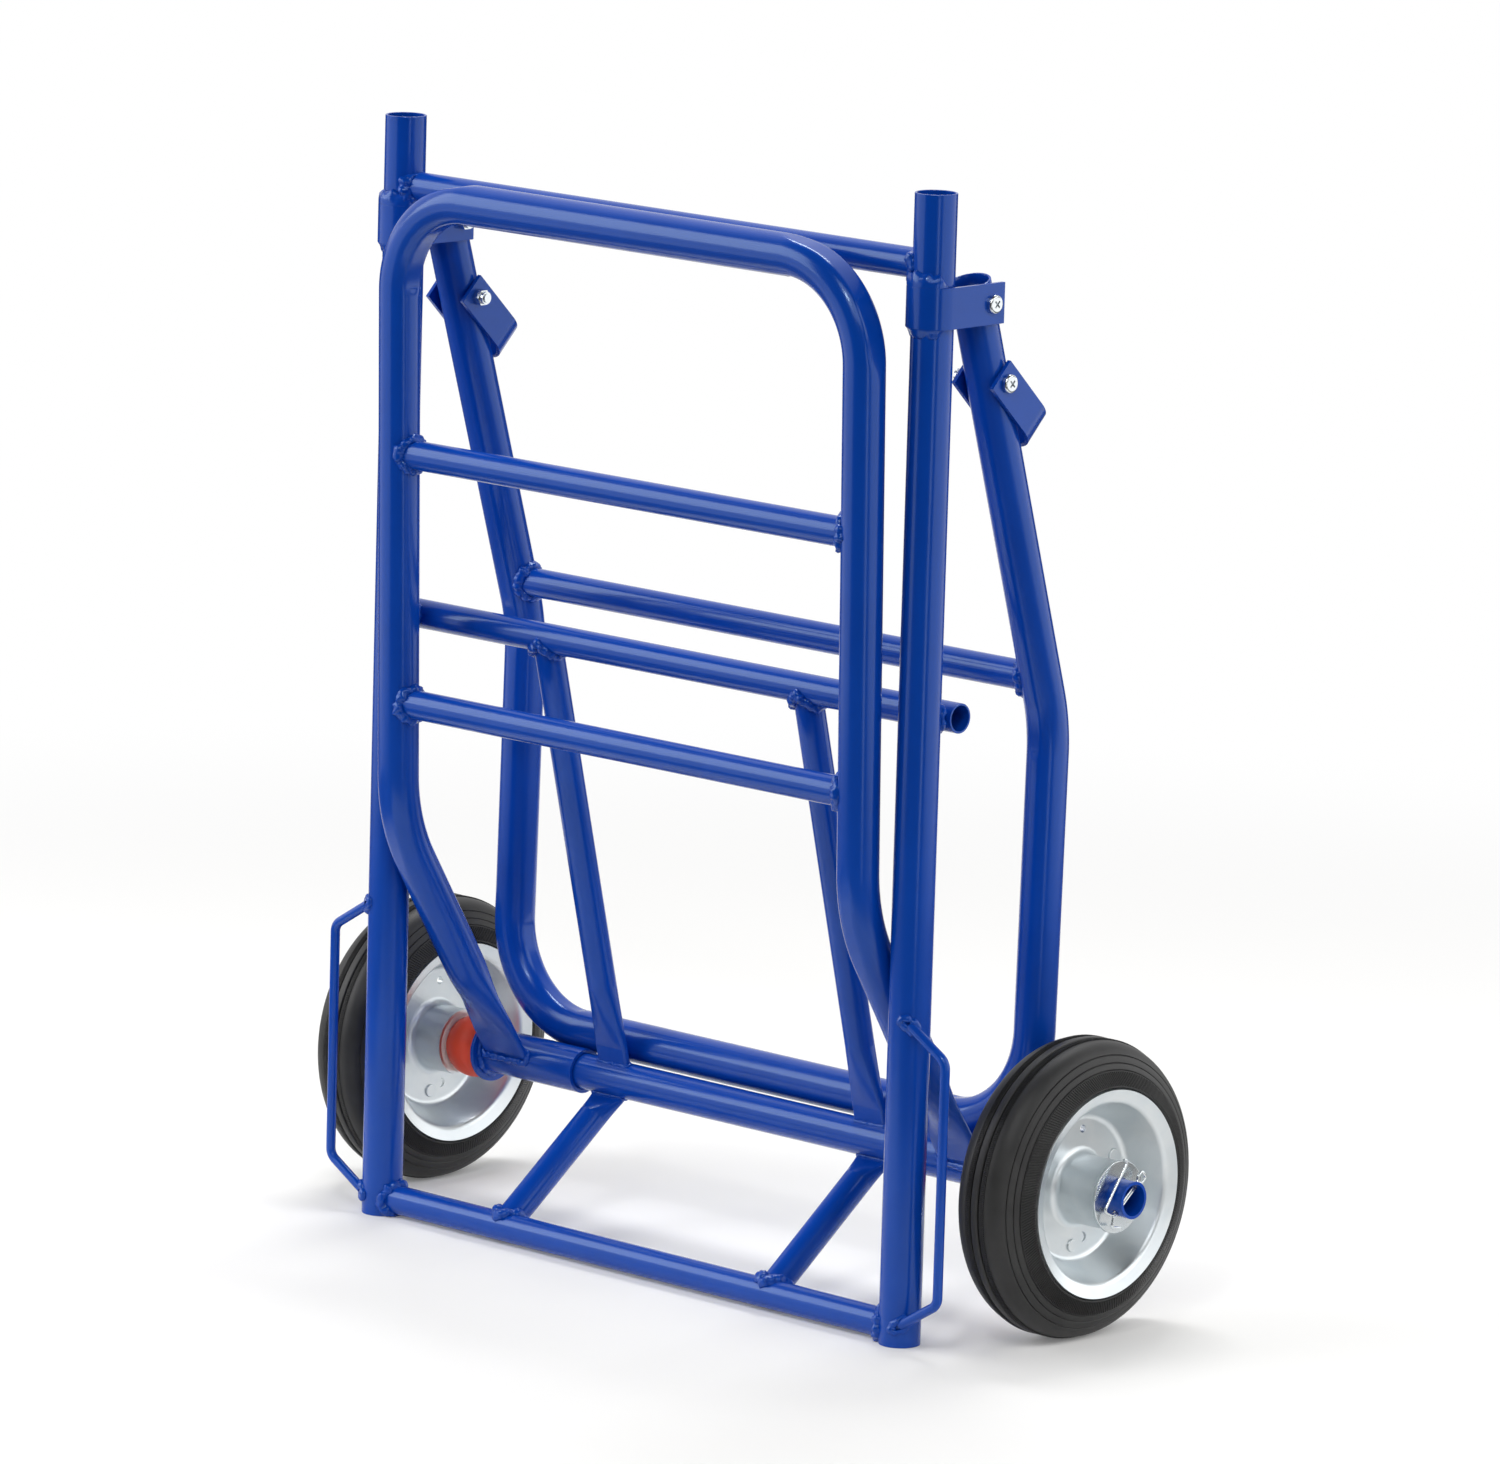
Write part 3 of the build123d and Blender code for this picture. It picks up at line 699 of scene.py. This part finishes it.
# %% [markdown]
# The handle is bent the same way, but its leg ends are open at the hinges, so its skin goes on round the lip
# and back through the bore. One loop of rings makes outside, lip and inside in a single closed surface.

# %% Handle tube
handle_lean = radians(17.25)
handle_overhang, handle_upper = 14 * MM, 301.5 * MM
handle_bend_radius, handle_corner, handle_corner_mark = 130 * MM, 70 * MM, 0.5
bar_bearing, bar_gap = radians(49.1), 0.3 * MM
lip_round = 0.35 * MM
handle_down = Vector((0, sin(handle_lean), -cos(handle_lean)))
handle_bend = hinge_place + handle_down * handle_upper
bar_reach = sleeve_radius + main_radius + bar_gap
handle_bar = AXLE_PLACE + Vector((0, cos(bar_bearing), sin(bar_bearing))) * bar_reach


def open_tube_rings(stations, radius, wall):
    """Closed loop of rings for an open-ended tube: outside there, inside back, with rounded lips."""
    outside = tube_rings(stations, radius)
    inside = tube_rings(stations, radius - wall)

    def lip(ring, inner_ring, heading):
        step, shares = heading * lip_round, (lip_round / wall, 1 - lip_round / wall)
        return [[p.lerp(q, share) + step for p, q in zip(ring, inner_ring)] for share in shares]

    end_lip = lip(outside[-1], inside[-1], stations[-1].heading)
    start_lip = lip(outside[0], inside[0], -stations[0].heading)
    return outside + end_lip + inside[::-1] + start_lip[::-1]


handle_end = hinge_place - handle_down * (handle_overhang - lip_round)
handle_side = [handle_end, handle_bend, handle_bar]
stations = u_path(handle_side, upright_middle.x, handle_bend_radius, handle_corner, handle_corner_mark)
handle_mesh = skin_mesh("handle_bent_tube", open_tube_rings(stations, main_radius, tube_wall), loop=True)
placed(handle_mesh, blue, "handle", "blue_paint", "handle_tube")
print("handle tube", len(handle_mesh.polygons), "faces")

# %% [markdown]
# Nothing on a real cart has a perfectly sharp edge: cut tube is deburred and paint rounds what is left. A
# copy of each solid with visible edges is welded into one skin, its sharp edges get a small Bevel, and the
# copy stands for the solid.

# %% Softened edges
EDGE_ANGLE, FLAT_ANGLE = radians(38), radians(0.2)
SAME_PLACE = 1e-6
TUBE_END_EDGE = 0.35 * MM


def settle(piece):
    """Turn a piece's modifiers into plain mesh."""
    graph = bpy.context.evaluated_depsgraph_get()
    mesh = bpy.data.meshes.new_from_object(piece.evaluated_get(graph))
    piece.modifiers.clear()
    piece.data = mesh
    return mesh


def soften(node, width):
    """Copy of a solid with its sharp edges rounded."""
    solid = frame["nodes"][node]
    mesh = solid.data.copy()
    mesh.name = f"{node}_soft"
    shell = bmesh.new()
    shell.from_mesh(mesh)
    bmesh.ops.remove_doubles(shell, verts=shell.verts, dist=SAME_PLACE)
    bmesh.ops.dissolve_limit(shell, angle_limit=FLAT_ANGLE, verts=shell.verts, edges=shell.edges)
    shell.to_mesh(mesh)
    shell.free()
    material, slot = finish_of(node)
    piece = placed(mesh, material, solid["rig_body"], slot, node)
    mesh.polygons.foreach_set("use_smooth", [True] * len(mesh.polygons))
    bevel = piece.modifiers.new("edge", "BEVEL")
    bevel.width = width
    bevel.segments = 2
    bevel.limit_method = "ANGLE"
    bevel.angle_limit = EDGE_ANGLE
    piece.modifiers.new("normals", "WEIGHTED_NORMAL")
    settle(piece)


SOFT_EDGES = {
    "upright": 0.4 * MM,
    "hinge_bracket": 0.6 * MM,
    "lock_bail": 0.6 * MM,
    "pivot_sleeve": 0.4 * MM,
    "sleeve_flange": 0.6 * MM,
    "axle_washer": 0.5 * MM,
}
for start, width in SOFT_EDGES.items():
    for side_name in ("left", "right"):
        soften(f"{start}_{side_name}", width)
for node in ("middle_cross_tube", "axle_tube"):
    soften(node, TUBE_END_EDGE)
print("softened", 2 * len(SOFT_EDGES) + 2, "solids")

# %% [markdown]
# Weld beads are laid by hand: each is a row of overlapping drops along the seam, under the same blue coat.
# The seams follow from the tubes themselves. Every point of the branch tube's outline is pushed along the
# branch until it meets the main tube, which gives the saddle-shaped line that a welder follows.

# %% Weld seams
Bar = namedtuple("Bar", "place along radius")


def turns(count):
    """Angles of even steps round a circle."""
    return [2 * pi * k / count for k in range(count)]


def round_outline(radius, count=48):
    """Outline of a round tube's end."""
    return [(radius * cos(turn), radius * sin(turn)) for turn in turns(count)]


def squeezed_outline(radius):
    """Outline of a squeezed tube's end."""
    half_thick = squeezed_thick / 2
    half_run = pi * (radius - half_thick) / 2
    return [flat_point(k / RING_POINTS, half_run, half_thick) for k in range(RING_POINTS)]


def seam(start, heading, outline, main):
    """Where a branch of that outline, going along its heading, meets the main bar."""
    heading = heading.normalized()
    side = X_AXIS if abs(heading.x) < 0.5 else Z_AXIS
    side = (side - heading * side.dot(heading)).normalized()
    other = heading.cross(side)
    ahead = heading - main.along * heading.dot(main.along)
    points = []
    for u, v in outline:
        origin = start + side * u + other * v
        gap = origin - main.place
        gap -= main.along * gap.dot(main.along)
        a, b = ahead.length_squared, 2 * gap.dot(ahead)
        c = gap.length_squared - main.radius ** 2
        root = sqrt(max(0.0, b * b - 4 * a * c))
        points.append(origin + heading * ((-b - root) / (2 * a)))
    return points


def both_sides(points, bead):
    """A right-hand seam and its mirror image, each with its bead's radius."""
    return [(points, bead), ([at_side(p, -p.x) for p in points], bead)]


right_upright = Bar(upright_middle, Z_AXIS, main_radius)
middle_tube = Bar(middle("middle_cross_tube"), X_AXIS, thin_radius)
bottom_tube = Bar(middle("bottom_cross_tube"), X_AXIS, thin_radius)
axle_bar = Bar(AXLE_PLACE, X_AXIS, axle_radius)
sleeve_bar = Bar(AXLE_PLACE, X_AXIS, sleeve_radius)
round_thin = round_outline(thin_radius)
print("bars ready")

# %% Chassis seams
tube_bead, rod_bead, flat_bead = 3.7 * MM, 2.5 * MM, 1.3 * MM
brace_sink = 4.5 * MM
Stay = namedtuple("Stay", "cross x axle_offset inside")
STAYS = {
    "strut": Stay(middle_tube, 119 * MM, 0.0, 100 * MM),
    "brace": Stay(bottom_tube, 123 * MM, axle_radius - brace_sink, 60 * MM),
}
crevice_wide, crevice_tall, crevice_count = 7.5 * MM, 6.3 * MM, 40
loop_ends, loop_slope = ((216 * MM, 1), (16 * MM, -1)), Vector((-31, 0, 19)).normalized()
loop_aside, loop_back, loop_count = 10 * MM, 25 * MM, 24


def crossing_seam(main, crossing):
    """Ring of weld in the crevice where one bar passes behind another."""
    ring = []
    for turn in turns(crevice_count):
        x, z = crevice_wide * cos(turn), crevice_tall * sin(turn)
        front = main.place.y + sqrt(main.radius ** 2 - x * x)
        back = crossing.place.y - sqrt(crossing.radius ** 2 - z * z)
        ring.append(Vector((main.place.x + x, (front + back) / 2, crossing.place.z + z)))
    return ring


chassis_seams = []
for cross in ("top_cross_tube", "bottom_cross_tube"):
    chassis_seams += both_sides(seam(middle(cross), X_AXIS, round_thin, right_upright), tube_bead)
chassis_seams += both_sides(crossing_seam(right_upright, middle_tube), tube_bead)

for stay in STAYS.values():
    top = at_side(stay.cross.place, stay.x)
    heading = passing_heading(top, AXLE_PLACE, stay.axle_offset)[0]
    start = top + heading * stay.inside
    chassis_seams += both_sides(seam(start, -heading, round_thin, stay.cross), tube_bead)
    chassis_seams += both_sides(seam(start, heading, squeezed_outline(thin_radius), axle_bar), flat_bead)

loop_outline = round_outline(half_size("side_loop_right").y, loop_count)
for z, tilt in loop_ends:
    heading = Vector((loop_slope.x, 0, loop_slope.z * tilt))
    start = Vector((upright_middle.x + loop_aside, middle("side_loop_right").y, z)) - heading * loop_back
    chassis_seams += both_sides(seam(start, heading, loop_outline, right_upright), rod_bead)
print("chassis seams", len(chassis_seams))

# %% Load frame and handle seams
foot_bead, foot_inside = 2.4 * MM, 60 * MM
frame_leg = Bar(at_side(frame_bend, frame_leg_x), (frame_top - frame_bend).normalized(), main_radius)
load_frame_seams = []
for rung in ("load_frame_rung_upper", "load_frame_rung_lower"):
    load_frame_seams += both_sides(seam(middle(rung), X_AXIS, round_thin, frame_leg), tube_bead)
foot_start = at_side(frame_bend + foot_heading * (foot_way - foot_inside), frame_leg_x)
foot_ring = seam(foot_start, foot_heading, squeezed_outline(main_radius), sleeve_bar)
load_frame_seams += both_sides(foot_ring, foot_bead)
flange_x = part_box("sleeve_flange_right")[0].x
sleeve_outline = round_outline(sleeve_radius)
flange_ring = [Vector((flange_x, AXLE_PLACE.y + u, AXLE_PLACE.z + v)) for u, v in sleeve_outline]
load_frame_seams += both_sides(flange_ring, rod_bead)

handle_leg = Bar(at_side(hinge_place, upright_middle.x), handle_down, main_radius)
handle_seams = both_sides(seam(middle("handle_cross_tube"), X_AXIS, round_thin, handle_leg), tube_bead)
print("load frame seams", len(load_frame_seams), "handle seams", len(handle_seams))

# %% [markdown]
# One Geometry Nodes tree turns every seam into a bead. It takes a mesh of bare edges, makes them curves,
# and sweeps a circle along them whose radius swells with each drop of weld and wanders with a slow noise;
# a finer noise ripples the skin. The bead's own size is an attribute on the edges, so small rods get small
# beads.

# %% Weld bead tree


def geometry_tree(name, *numbers, **others):
    """New Geometry Nodes tree with named inputs, numbers or others; returns its sheet and their Wires."""
    tree = bpy.data.node_groups.new(name, "GeometryNodeTree")
    tree.interface.new_socket("Geometry", in_out="OUTPUT", socket_type="NodeSocketGeometry")
    inputs = {"Geometry": "Geometry", **dict.fromkeys(numbers, "Float"), **others}
    for label, kind in inputs.items():
        tree.interface.new_socket(label, in_out="INPUT", socket_type=f"NodeSocket{kind}")
    sheet = Sheet(tree)
    entry = sheet.add("NodeGroupInput")
    return sheet, {label: entry.out(label) for label in inputs}


def end_tree(sheet, geometry, finish):
    """Realize instances, set the material, and leave the tree."""
    solid = sheet.add("GeometryNodeRealizeInstances", {"Geometry": geometry})
    painted = sheet.add("GeometryNodeSetMaterial", {"Geometry": solid, "Material": finish})
    sheet.add("NodeGroupOutput", {"Geometry": painted})
    return sheet.tree


def run_tree(piece, tree, values):
    """Give a piece the tree's modifier, its inputs set by identifier."""
    modifier = piece.modifiers.new(tree.name, "NODES")
    modifier.node_group = tree
    for item in tree.interface.items_tree:
        if item.in_out == "INPUT" and item.name in values:
            modifier[item.identifier] = values[item.name]


def weld_tree():
    """Bead swept along edges."""
    sheet, given = geometry_tree(
        "weld_bead", "Step", "Drop length", "Drop swell", "Lump size", "Lump swell", "Ripple size", "Ripple",
        Sides="Int", Finish="Material")
    curve = sheet.add("GeometryNodeMeshToCurve", {"Mesh": given["Geometry"]})
    curve = sheet.add("GeometryNodeResampleCurve", {"Curve": curve, "Length": given["Step"]}, mode="LENGTH")
    way = sheet.add("GeometryNodeSplineParameter", output="Length")
    drop = (way * pi / given["Drop length"]).math("SINE").math("ABSOLUTE")
    place = sheet.add("GeometryNodeInputPosition")
    lump = sheet.noise(place, given["Lump size"], 1.0)
    ripple = sheet.noise(place, given["Ripple size"], 0.0)
    bead = sheet.add("GeometryNodeInputNamedAttribute", {"Name": "bead"}, data_type="FLOAT")
    radius = bead * (1.0 + given["Drop swell"] * drop + given["Lump swell"] * (lump - 0.5))
    circle = sheet.add("GeometryNodeCurvePrimitiveCircle", {"Resolution": given["Sides"], "Radius": 1.0})
    sweep = {"Curve": curve, "Profile Curve": circle, "Scale": radius, "Fill Caps": True}
    skin = sheet.add("GeometryNodeCurveToMesh", sweep)
    rise = {0: sheet.add("GeometryNodeInputNormal"), "Scale": (ripple - 0.5) * given["Ripple"] * bead}
    rise = sheet.add("ShaderNodeVectorMath", rise, operation="SCALE")
    skin = sheet.add("GeometryNodeSetPosition", {"Geometry": skin, "Offset": rise})
    skin = sheet.add("GeometryNodeSetShadeSmooth", {"Geometry": skin})
    return end_tree(sheet, skin, given["Finish"])


bead_tree = weld_tree()
print("tree", bead_tree.name, len(bead_tree.nodes), "nodes")

# %% [markdown]
# Each body gets its beads as one mesh. They are ground low in two places: under the bottom tube, where the
# cart stands on the floor, and on top of the top cross tube, where the lock bails come down.

# %% Weld beads
FLOOR_GAP = 0.3 * MM
BAIL_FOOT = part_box("top_cross_tube")[1].z - 3 * MM
BAIL_PRESS = 0.35
BEAD_VALUES = {
    "Step": 0.6 * MM, "Drop length": 5 * MM, "Drop swell": 0.14, "Lump size": 6 * MM, "Lump swell": 0.9,
    "Ripple size": 4 * MM, "Ripple": 1.0, "Sides": 16, "Finish": blue,
}


def seam_mesh(name, seams):
    """Edges round closed seams, with each point's bead radius as an attribute."""
    points, edges, beads = [], [], []
    for line, bead in seams:
        first, count = len(points), len(line)
        points += line
        edges += [(first + k, first + (k + 1) % count) for k in range(count)]
        beads += [bead] * count
    mesh = bpy.data.meshes.new(name)
    mesh.from_pydata(points, edges, [])
    mesh.attributes.new("bead", "FLOAT", "POINT").data.foreach_set("value", beads)
    return mesh


def weld_piece(name, seams, body):
    """All the beads of one body as one plain mesh, ground low at the floor and under the bails."""
    piece = new_object(seam_mesh(name, seams))
    run_tree(piece, bead_tree, BEAD_VALUES)
    for vertex in settle(piece).vertices:
        height = vertex.co.z
        height -= (1 - BAIL_PRESS) * max(0.0, height - BAIL_FOOT)
        vertex.co.z = max(height, FLOOR_GAP)
    return dressed(piece, body, "blue_paint")


for body, seams in (("chassis", chassis_seams), ("load_frame", load_frame_seams), ("handle", handle_seams)):
    welds = weld_piece(f"{body}_welds", seams, body)
    print(welds.name, len(welds.data.polygons), "faces")

# %% [markdown]
# The hinge straps are thick, so their welds are no thin beads: a sloping shoulder of weld leads from the
# strap's edge to the upright, full and round above it and hollow below. Each section is drawn in shares of
# the strap's thickness and the shoulder's height, and carried round the tube's front. Noise adds the lumps.

# %% Strap shoulders
UPPER_SHOULDER = [(0.3, -0.2), (0.97, -0.12), (1.0, 0.05), (0.97, 0.3), (0.8, 0.6), (0.4, 0.86),
                  (-0.05, 1.0), (-0.4, 0.95), (-0.5, 0.1)]
LOWER_SHOULDER = [(0.3, -0.2), (0.9, -0.1), (0.93, 0.02), (0.7, 0.2), (0.42, 0.5), (0.2, 0.8),
                  (-0.05, 1.0), (-0.4, 0.95), (-0.5, 0.1)]
bracket_low, bracket_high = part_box("hinge_bracket_right")
strap_thick = upright_middle.y - bracket_low.y - main_radius
SHOULDER_STEPS, END_SHARE, END_FADE = 56, 0.25, 0.16
LUMP_SIZE, LUMP_OUT, LUMP_UP = 5 * MM, 1.4 * MM, 0.3


def shoulder_mesh(section, edge, way, tall, reach, side):
    """Weld shoulder at the height of a strap's edge; way is 1 above the strap and -1 below it."""
    rings = []
    for k in range(SHOULDER_STEPS + 1):
        share = k / SHOULDER_STEPS
        turn = radians(-90 + way * reach * (1 - 2 * share))
        full = END_SHARE + (1 - END_SHARE) * ease(min(share, 1 - share) / END_FADE)
        out = Vector((cos(turn), sin(turn), 0))
        ring = []
        for thick, height in section:
            place = upright_middle + out * main_radius
            place.z = edge
            lump = noise.noise((place + Z_AXIS * way * height * tall) / LUMP_SIZE)
            place += out * (thick * full * strap_thick + max(0.0, height) * lump * LUMP_OUT)
            place.z += way * height * tall * (full if height > 0 else 1.0) * (1 + LUMP_UP * lump)
            ring.append(at_side(place, side * place.x))
        rings.append(ring)
    return skin_mesh("shoulder", rings[::side], loop=False)


def merged(name, meshes):
    """Several meshes as one."""
    shell = bmesh.new()
    for part in meshes:
        shell.from_mesh(part)
    mesh = bpy.data.meshes.new(name)
    shell.to_mesh(mesh)
    shell.free()
    return mesh


SHOULDERS = [(UPPER_SHOULDER, bracket_high.z, 1, 9 * MM, 80), (LOWER_SHOULDER, bracket_low.z, -1, 6 * MM, 76)]
shoulders = [shoulder_mesh(*shoulder, side) for side in (1, -1) for shoulder in SHOULDERS]
strap_welds = placed(merged("strap_welds", shoulders), blue, "chassis", "blue_paint")
print(strap_welds.name, len(strap_welds.data.polygons), "faces")

# %% [markdown]
# The tyre is a turned section: a narrow rib between two grooves, round shoulders and a sloped, ringed flank.
# Its fine marks repeat hundreds of times: knurled teeth along the grooves and a hatched band beside the rim.
# So the body is spun from its section, and a Geometry Nodes tree sets the ribs round it, one ring at a time.

# %% Turned sections
SPIN_STEPS, ARC_STEPS, CORNER_STEPS = 180, 12, 2
CORNER_REACH = 0.45


def rounded(points, radius):
    """Outline with its inner corners cut by small arcs; a point may bring its own radius."""
    smooth = [points[0][:2]]
    for before, corner, after in zip(points, points[1:], points[2:]):
        own = corner[2] if len(corner) > 2 else radius
        p, q, r = (np.array(point[:2], float) for point in (before, corner, after))
        back, ahead = np.linalg.norm(p - q), np.linalg.norm(r - q)
        reach = min(own, CORNER_REACH * back, CORNER_REACH * ahead)
        start, end = q + (p - q) / back * reach, q + (r - q) / ahead * reach
        for k in range(CORNER_STEPS + 1):
            t = k / CORNER_STEPS
            smooth.append(tuple((1 - t) ** 2 * start + 2 * t * (1 - t) * q + t * t * end))
    smooth.append(points[-1][:2])
    return smooth


def spun(name, section):
    """Closed section (along the axle, radius) turned round the X axis."""
    rings = [[Vector((x, r * cos(turn), r * sin(turn))) for x, r in section] for turn in turns(SPIN_STEPS)]
    return skin_mesh(name, rings, loop=True)


def arc_points(start, end, radius):
    """Points on the short arc between two points that bulges to their left."""
    p, q = np.array(start, float), np.array(end, float)
    chord = q - p
    half = np.linalg.norm(chord) / 2
    normal = np.array([-chord[1], chord[0]]) / (2 * half)
    centre = (p + q) / 2 - normal * sqrt(radius ** 2 - half ** 2)
    a = atan2(*(p - centre)[::-1])
    b = atan2(*(q - centre)[::-1])
    angles = [a + (b - a) * k / ARC_STEPS for k in range(ARC_STEPS + 1)]
    return [tuple(centre + radius * np.array([cos(angle), sin(angle)])) for angle in angles]


print("spin steps", SPIN_STEPS)

# %% Tyre section
tyre_half, tyre_radius = half_size("tyre_right").xz
lip_radius, seat_radius = 70 * MM, 56.6 * MM
tread_half, groove_out, knurl_out = 2.8 * MM, 4 * MM, 8 * MM
groove_depth, knurl_drop, knurl_slope, shoulder_round = 4 * MM, 0.6 * MM, 0.2 * MM, 14 * MM
tread_edge, groove_lean, rubber_edge = 0.7 * MM, (0.4 * MM, 0.2 * MM), 0.2 * MM
groove_radius = tyre_radius - groove_depth
knurl_radius = tyre_radius - knurl_drop
shoulder_end = (20 * MM, tyre_radius - 8.3 * MM)
flank_end = (tyre_half, lip_radius + 1.5 * MM)
flank_turn = atan2(shoulder_end[1] - flank_end[1], flank_end[0] - shoulder_end[0])
hatch_in, hatch_out = lip_radius + 1.8 * MM, lip_radius + 11.4 * MM
FLANK_RINGS = (lip_radius + 21.2 * MM, lip_radius + 16.3 * MM, lip_radius + 12 * MM)
RIM_SEAT = [(2.6 * MM, lip_radius), (5.8 * MM, lip_radius - 8.2 * MM), (16.4 * MM, seat_radius)]
RING_CUT = ((0.45 * MM, 0.0), (0.0, 0.8 * MM), (-0.45 * MM, 0.0))


def flank_place(radius, sink=0.0):
    """Point of the sloped flank at a radius, or under it."""
    x = shoulder_end[0] + (shoulder_end[1] - radius) / tan(flank_turn)
    return x - sink * sin(flank_turn), radius - sink * cos(flank_turn)


def tyre_section():
    """Closed outline of the tyre, from the middle of the tread round to it again."""
    half = [
        (0, tyre_radius),
        (tread_half, tyre_radius, tread_edge),
        (tread_half + groove_lean[0], groove_radius),
        (groove_out - groove_lean[1], groove_radius),
        (groove_out, knurl_radius),
        *arc_points((knurl_out, knurl_radius - knurl_slope), shoulder_end, shoulder_round),
        *(flank_place(radius + rise, sink) for radius in FLANK_RINGS for rise, sink in RING_CUT),
        flank_end,
        *((tyre_half - inside, radius) for inside, radius in RIM_SEAT),
        (0, seat_radius),
    ]
    right = rounded(half, rubber_edge)
    left = [(-x, r) for x, r in right[-2:0:-1]]
    return right + left


def rib_tree():
    """A ring of small tapered ribs round the X axis, added to the piece."""
    sheet, given = geometry_tree(
        "rib_ring", "Radius", "Along axle", "Length", "Height", "Width", "Top share", "Slant", "Face turn",
        Count="Int", Finish="Material")
    size = sheet.xyz(given["Length"], given["Height"], given["Width"])
    rib = sheet.add("GeometryNodeMeshCube", {"Size": size})
    spot = sheet.add("ShaderNodeSeparateXYZ", {0: sheet.add("GeometryNodeInputPosition")})
    top = spot.out("Y").math("GREATER_THAN", 0.0)
    keep = 1.0 - top * (1.0 - given["Top share"])
    pulled = sheet.xyz(spot, spot.out("Y"), spot.out("Z") * keep)
    rib = sheet.add("GeometryNodeSetPosition", {"Geometry": rib, "Position": pulled})
    for rotation in (sheet.xyz(y=given["Slant"]), sheet.xyz(z=given["Face turn"])):
        rib = sheet.add("GeometryNodeTransform", {"Geometry": rib, "Rotation": rotation})
    line = sheet.add("GeometryNodeMeshLine", {"Count": given["Count"]})
    turn = sheet.add("GeometryNodeInputIndex") * (2 * pi) / given["Count"]
    radius = given["Radius"]
    place = sheet.xyz(given["Along axle"], radius * turn.math("COSINE"), radius * turn.math("SINE"))
    line = sheet.add("GeometryNodeSetPosition", {"Geometry": line, "Position": place})
    rotation = sheet.add("FunctionNodeAxisAngleToRotation", {"Axis": (1, 0, 0), "Angle": turn})
    ribs = sheet.add("GeometryNodeInstanceOnPoints", {"Points": line, "Instance": rib, "Rotation": rotation})
    ribs = sheet.add("GeometryNodeRealizeInstances", {"Geometry": ribs})
    ribs = sheet.add("GeometryNodeSetShadeSmooth", {"Geometry": ribs, "Shade Smooth": False})
    both = sheet.add("GeometryNodeJoinGeometry", {0: ribs})
    sheet.tree.links.new(given["Geometry"].socket, both.socket.node.inputs[0])
    return end_tree(sheet, both, given["Finish"])


ribs = rib_tree()
print("tree", ribs.name, len(ribs.nodes), "nodes")

# %% Tyres
hatch_x, hatch_radius = flank_place((hatch_in + hatch_out) / 2)
knurl_sink = 0.1 * MM
HATCH = {"Count": 270, "Radius": hatch_radius, "Length": (hatch_out - hatch_in) / sin(flank_turn),
         "Height": 1.2 * MM, "Width": 1.25 * MM, "Top share": 0.4, "Slant": radians(20), "Finish": rubber}
KNURL = {"Count": 460, "Radius": knurl_radius - knurl_sink, "Length": knurl_out - groove_out,
         "Height": 1.6 * MM, "Width": 0.95 * MM, "Top share": 0.25, "Slant": radians(24), "Face turn": 0.0,
         "Finish": rubber}


def tyre_piece(side_name, side):
    """One tyre with its hatched bands and knurled edges."""
    piece = new_object(spun(f"tyre_{side_name}_ribbed", tyre_section()))
    for face in (1, -1):
        run_tree(piece, ribs, {**HATCH, "Along axle": face * hatch_x, "Face turn": -face * flank_turn})
        run_tree(piece, ribs, {**KNURL, "Along axle": face * (groove_out + knurl_out) / 2})
    settle(piece).transform(Matrix.Translation(at_side(AXLE_PLACE, side * middle("tyre_right").x)))
    return dressed(piece, f"wheel_{side_name}", "tyre_rubber", f"tyre_{side_name}")


for side_name, side in (("left", -1), ("right", 1)):
    tyre = tyre_piece(side_name, side)
    print(tyre.name, len(tyre.data.polygons), "faces")
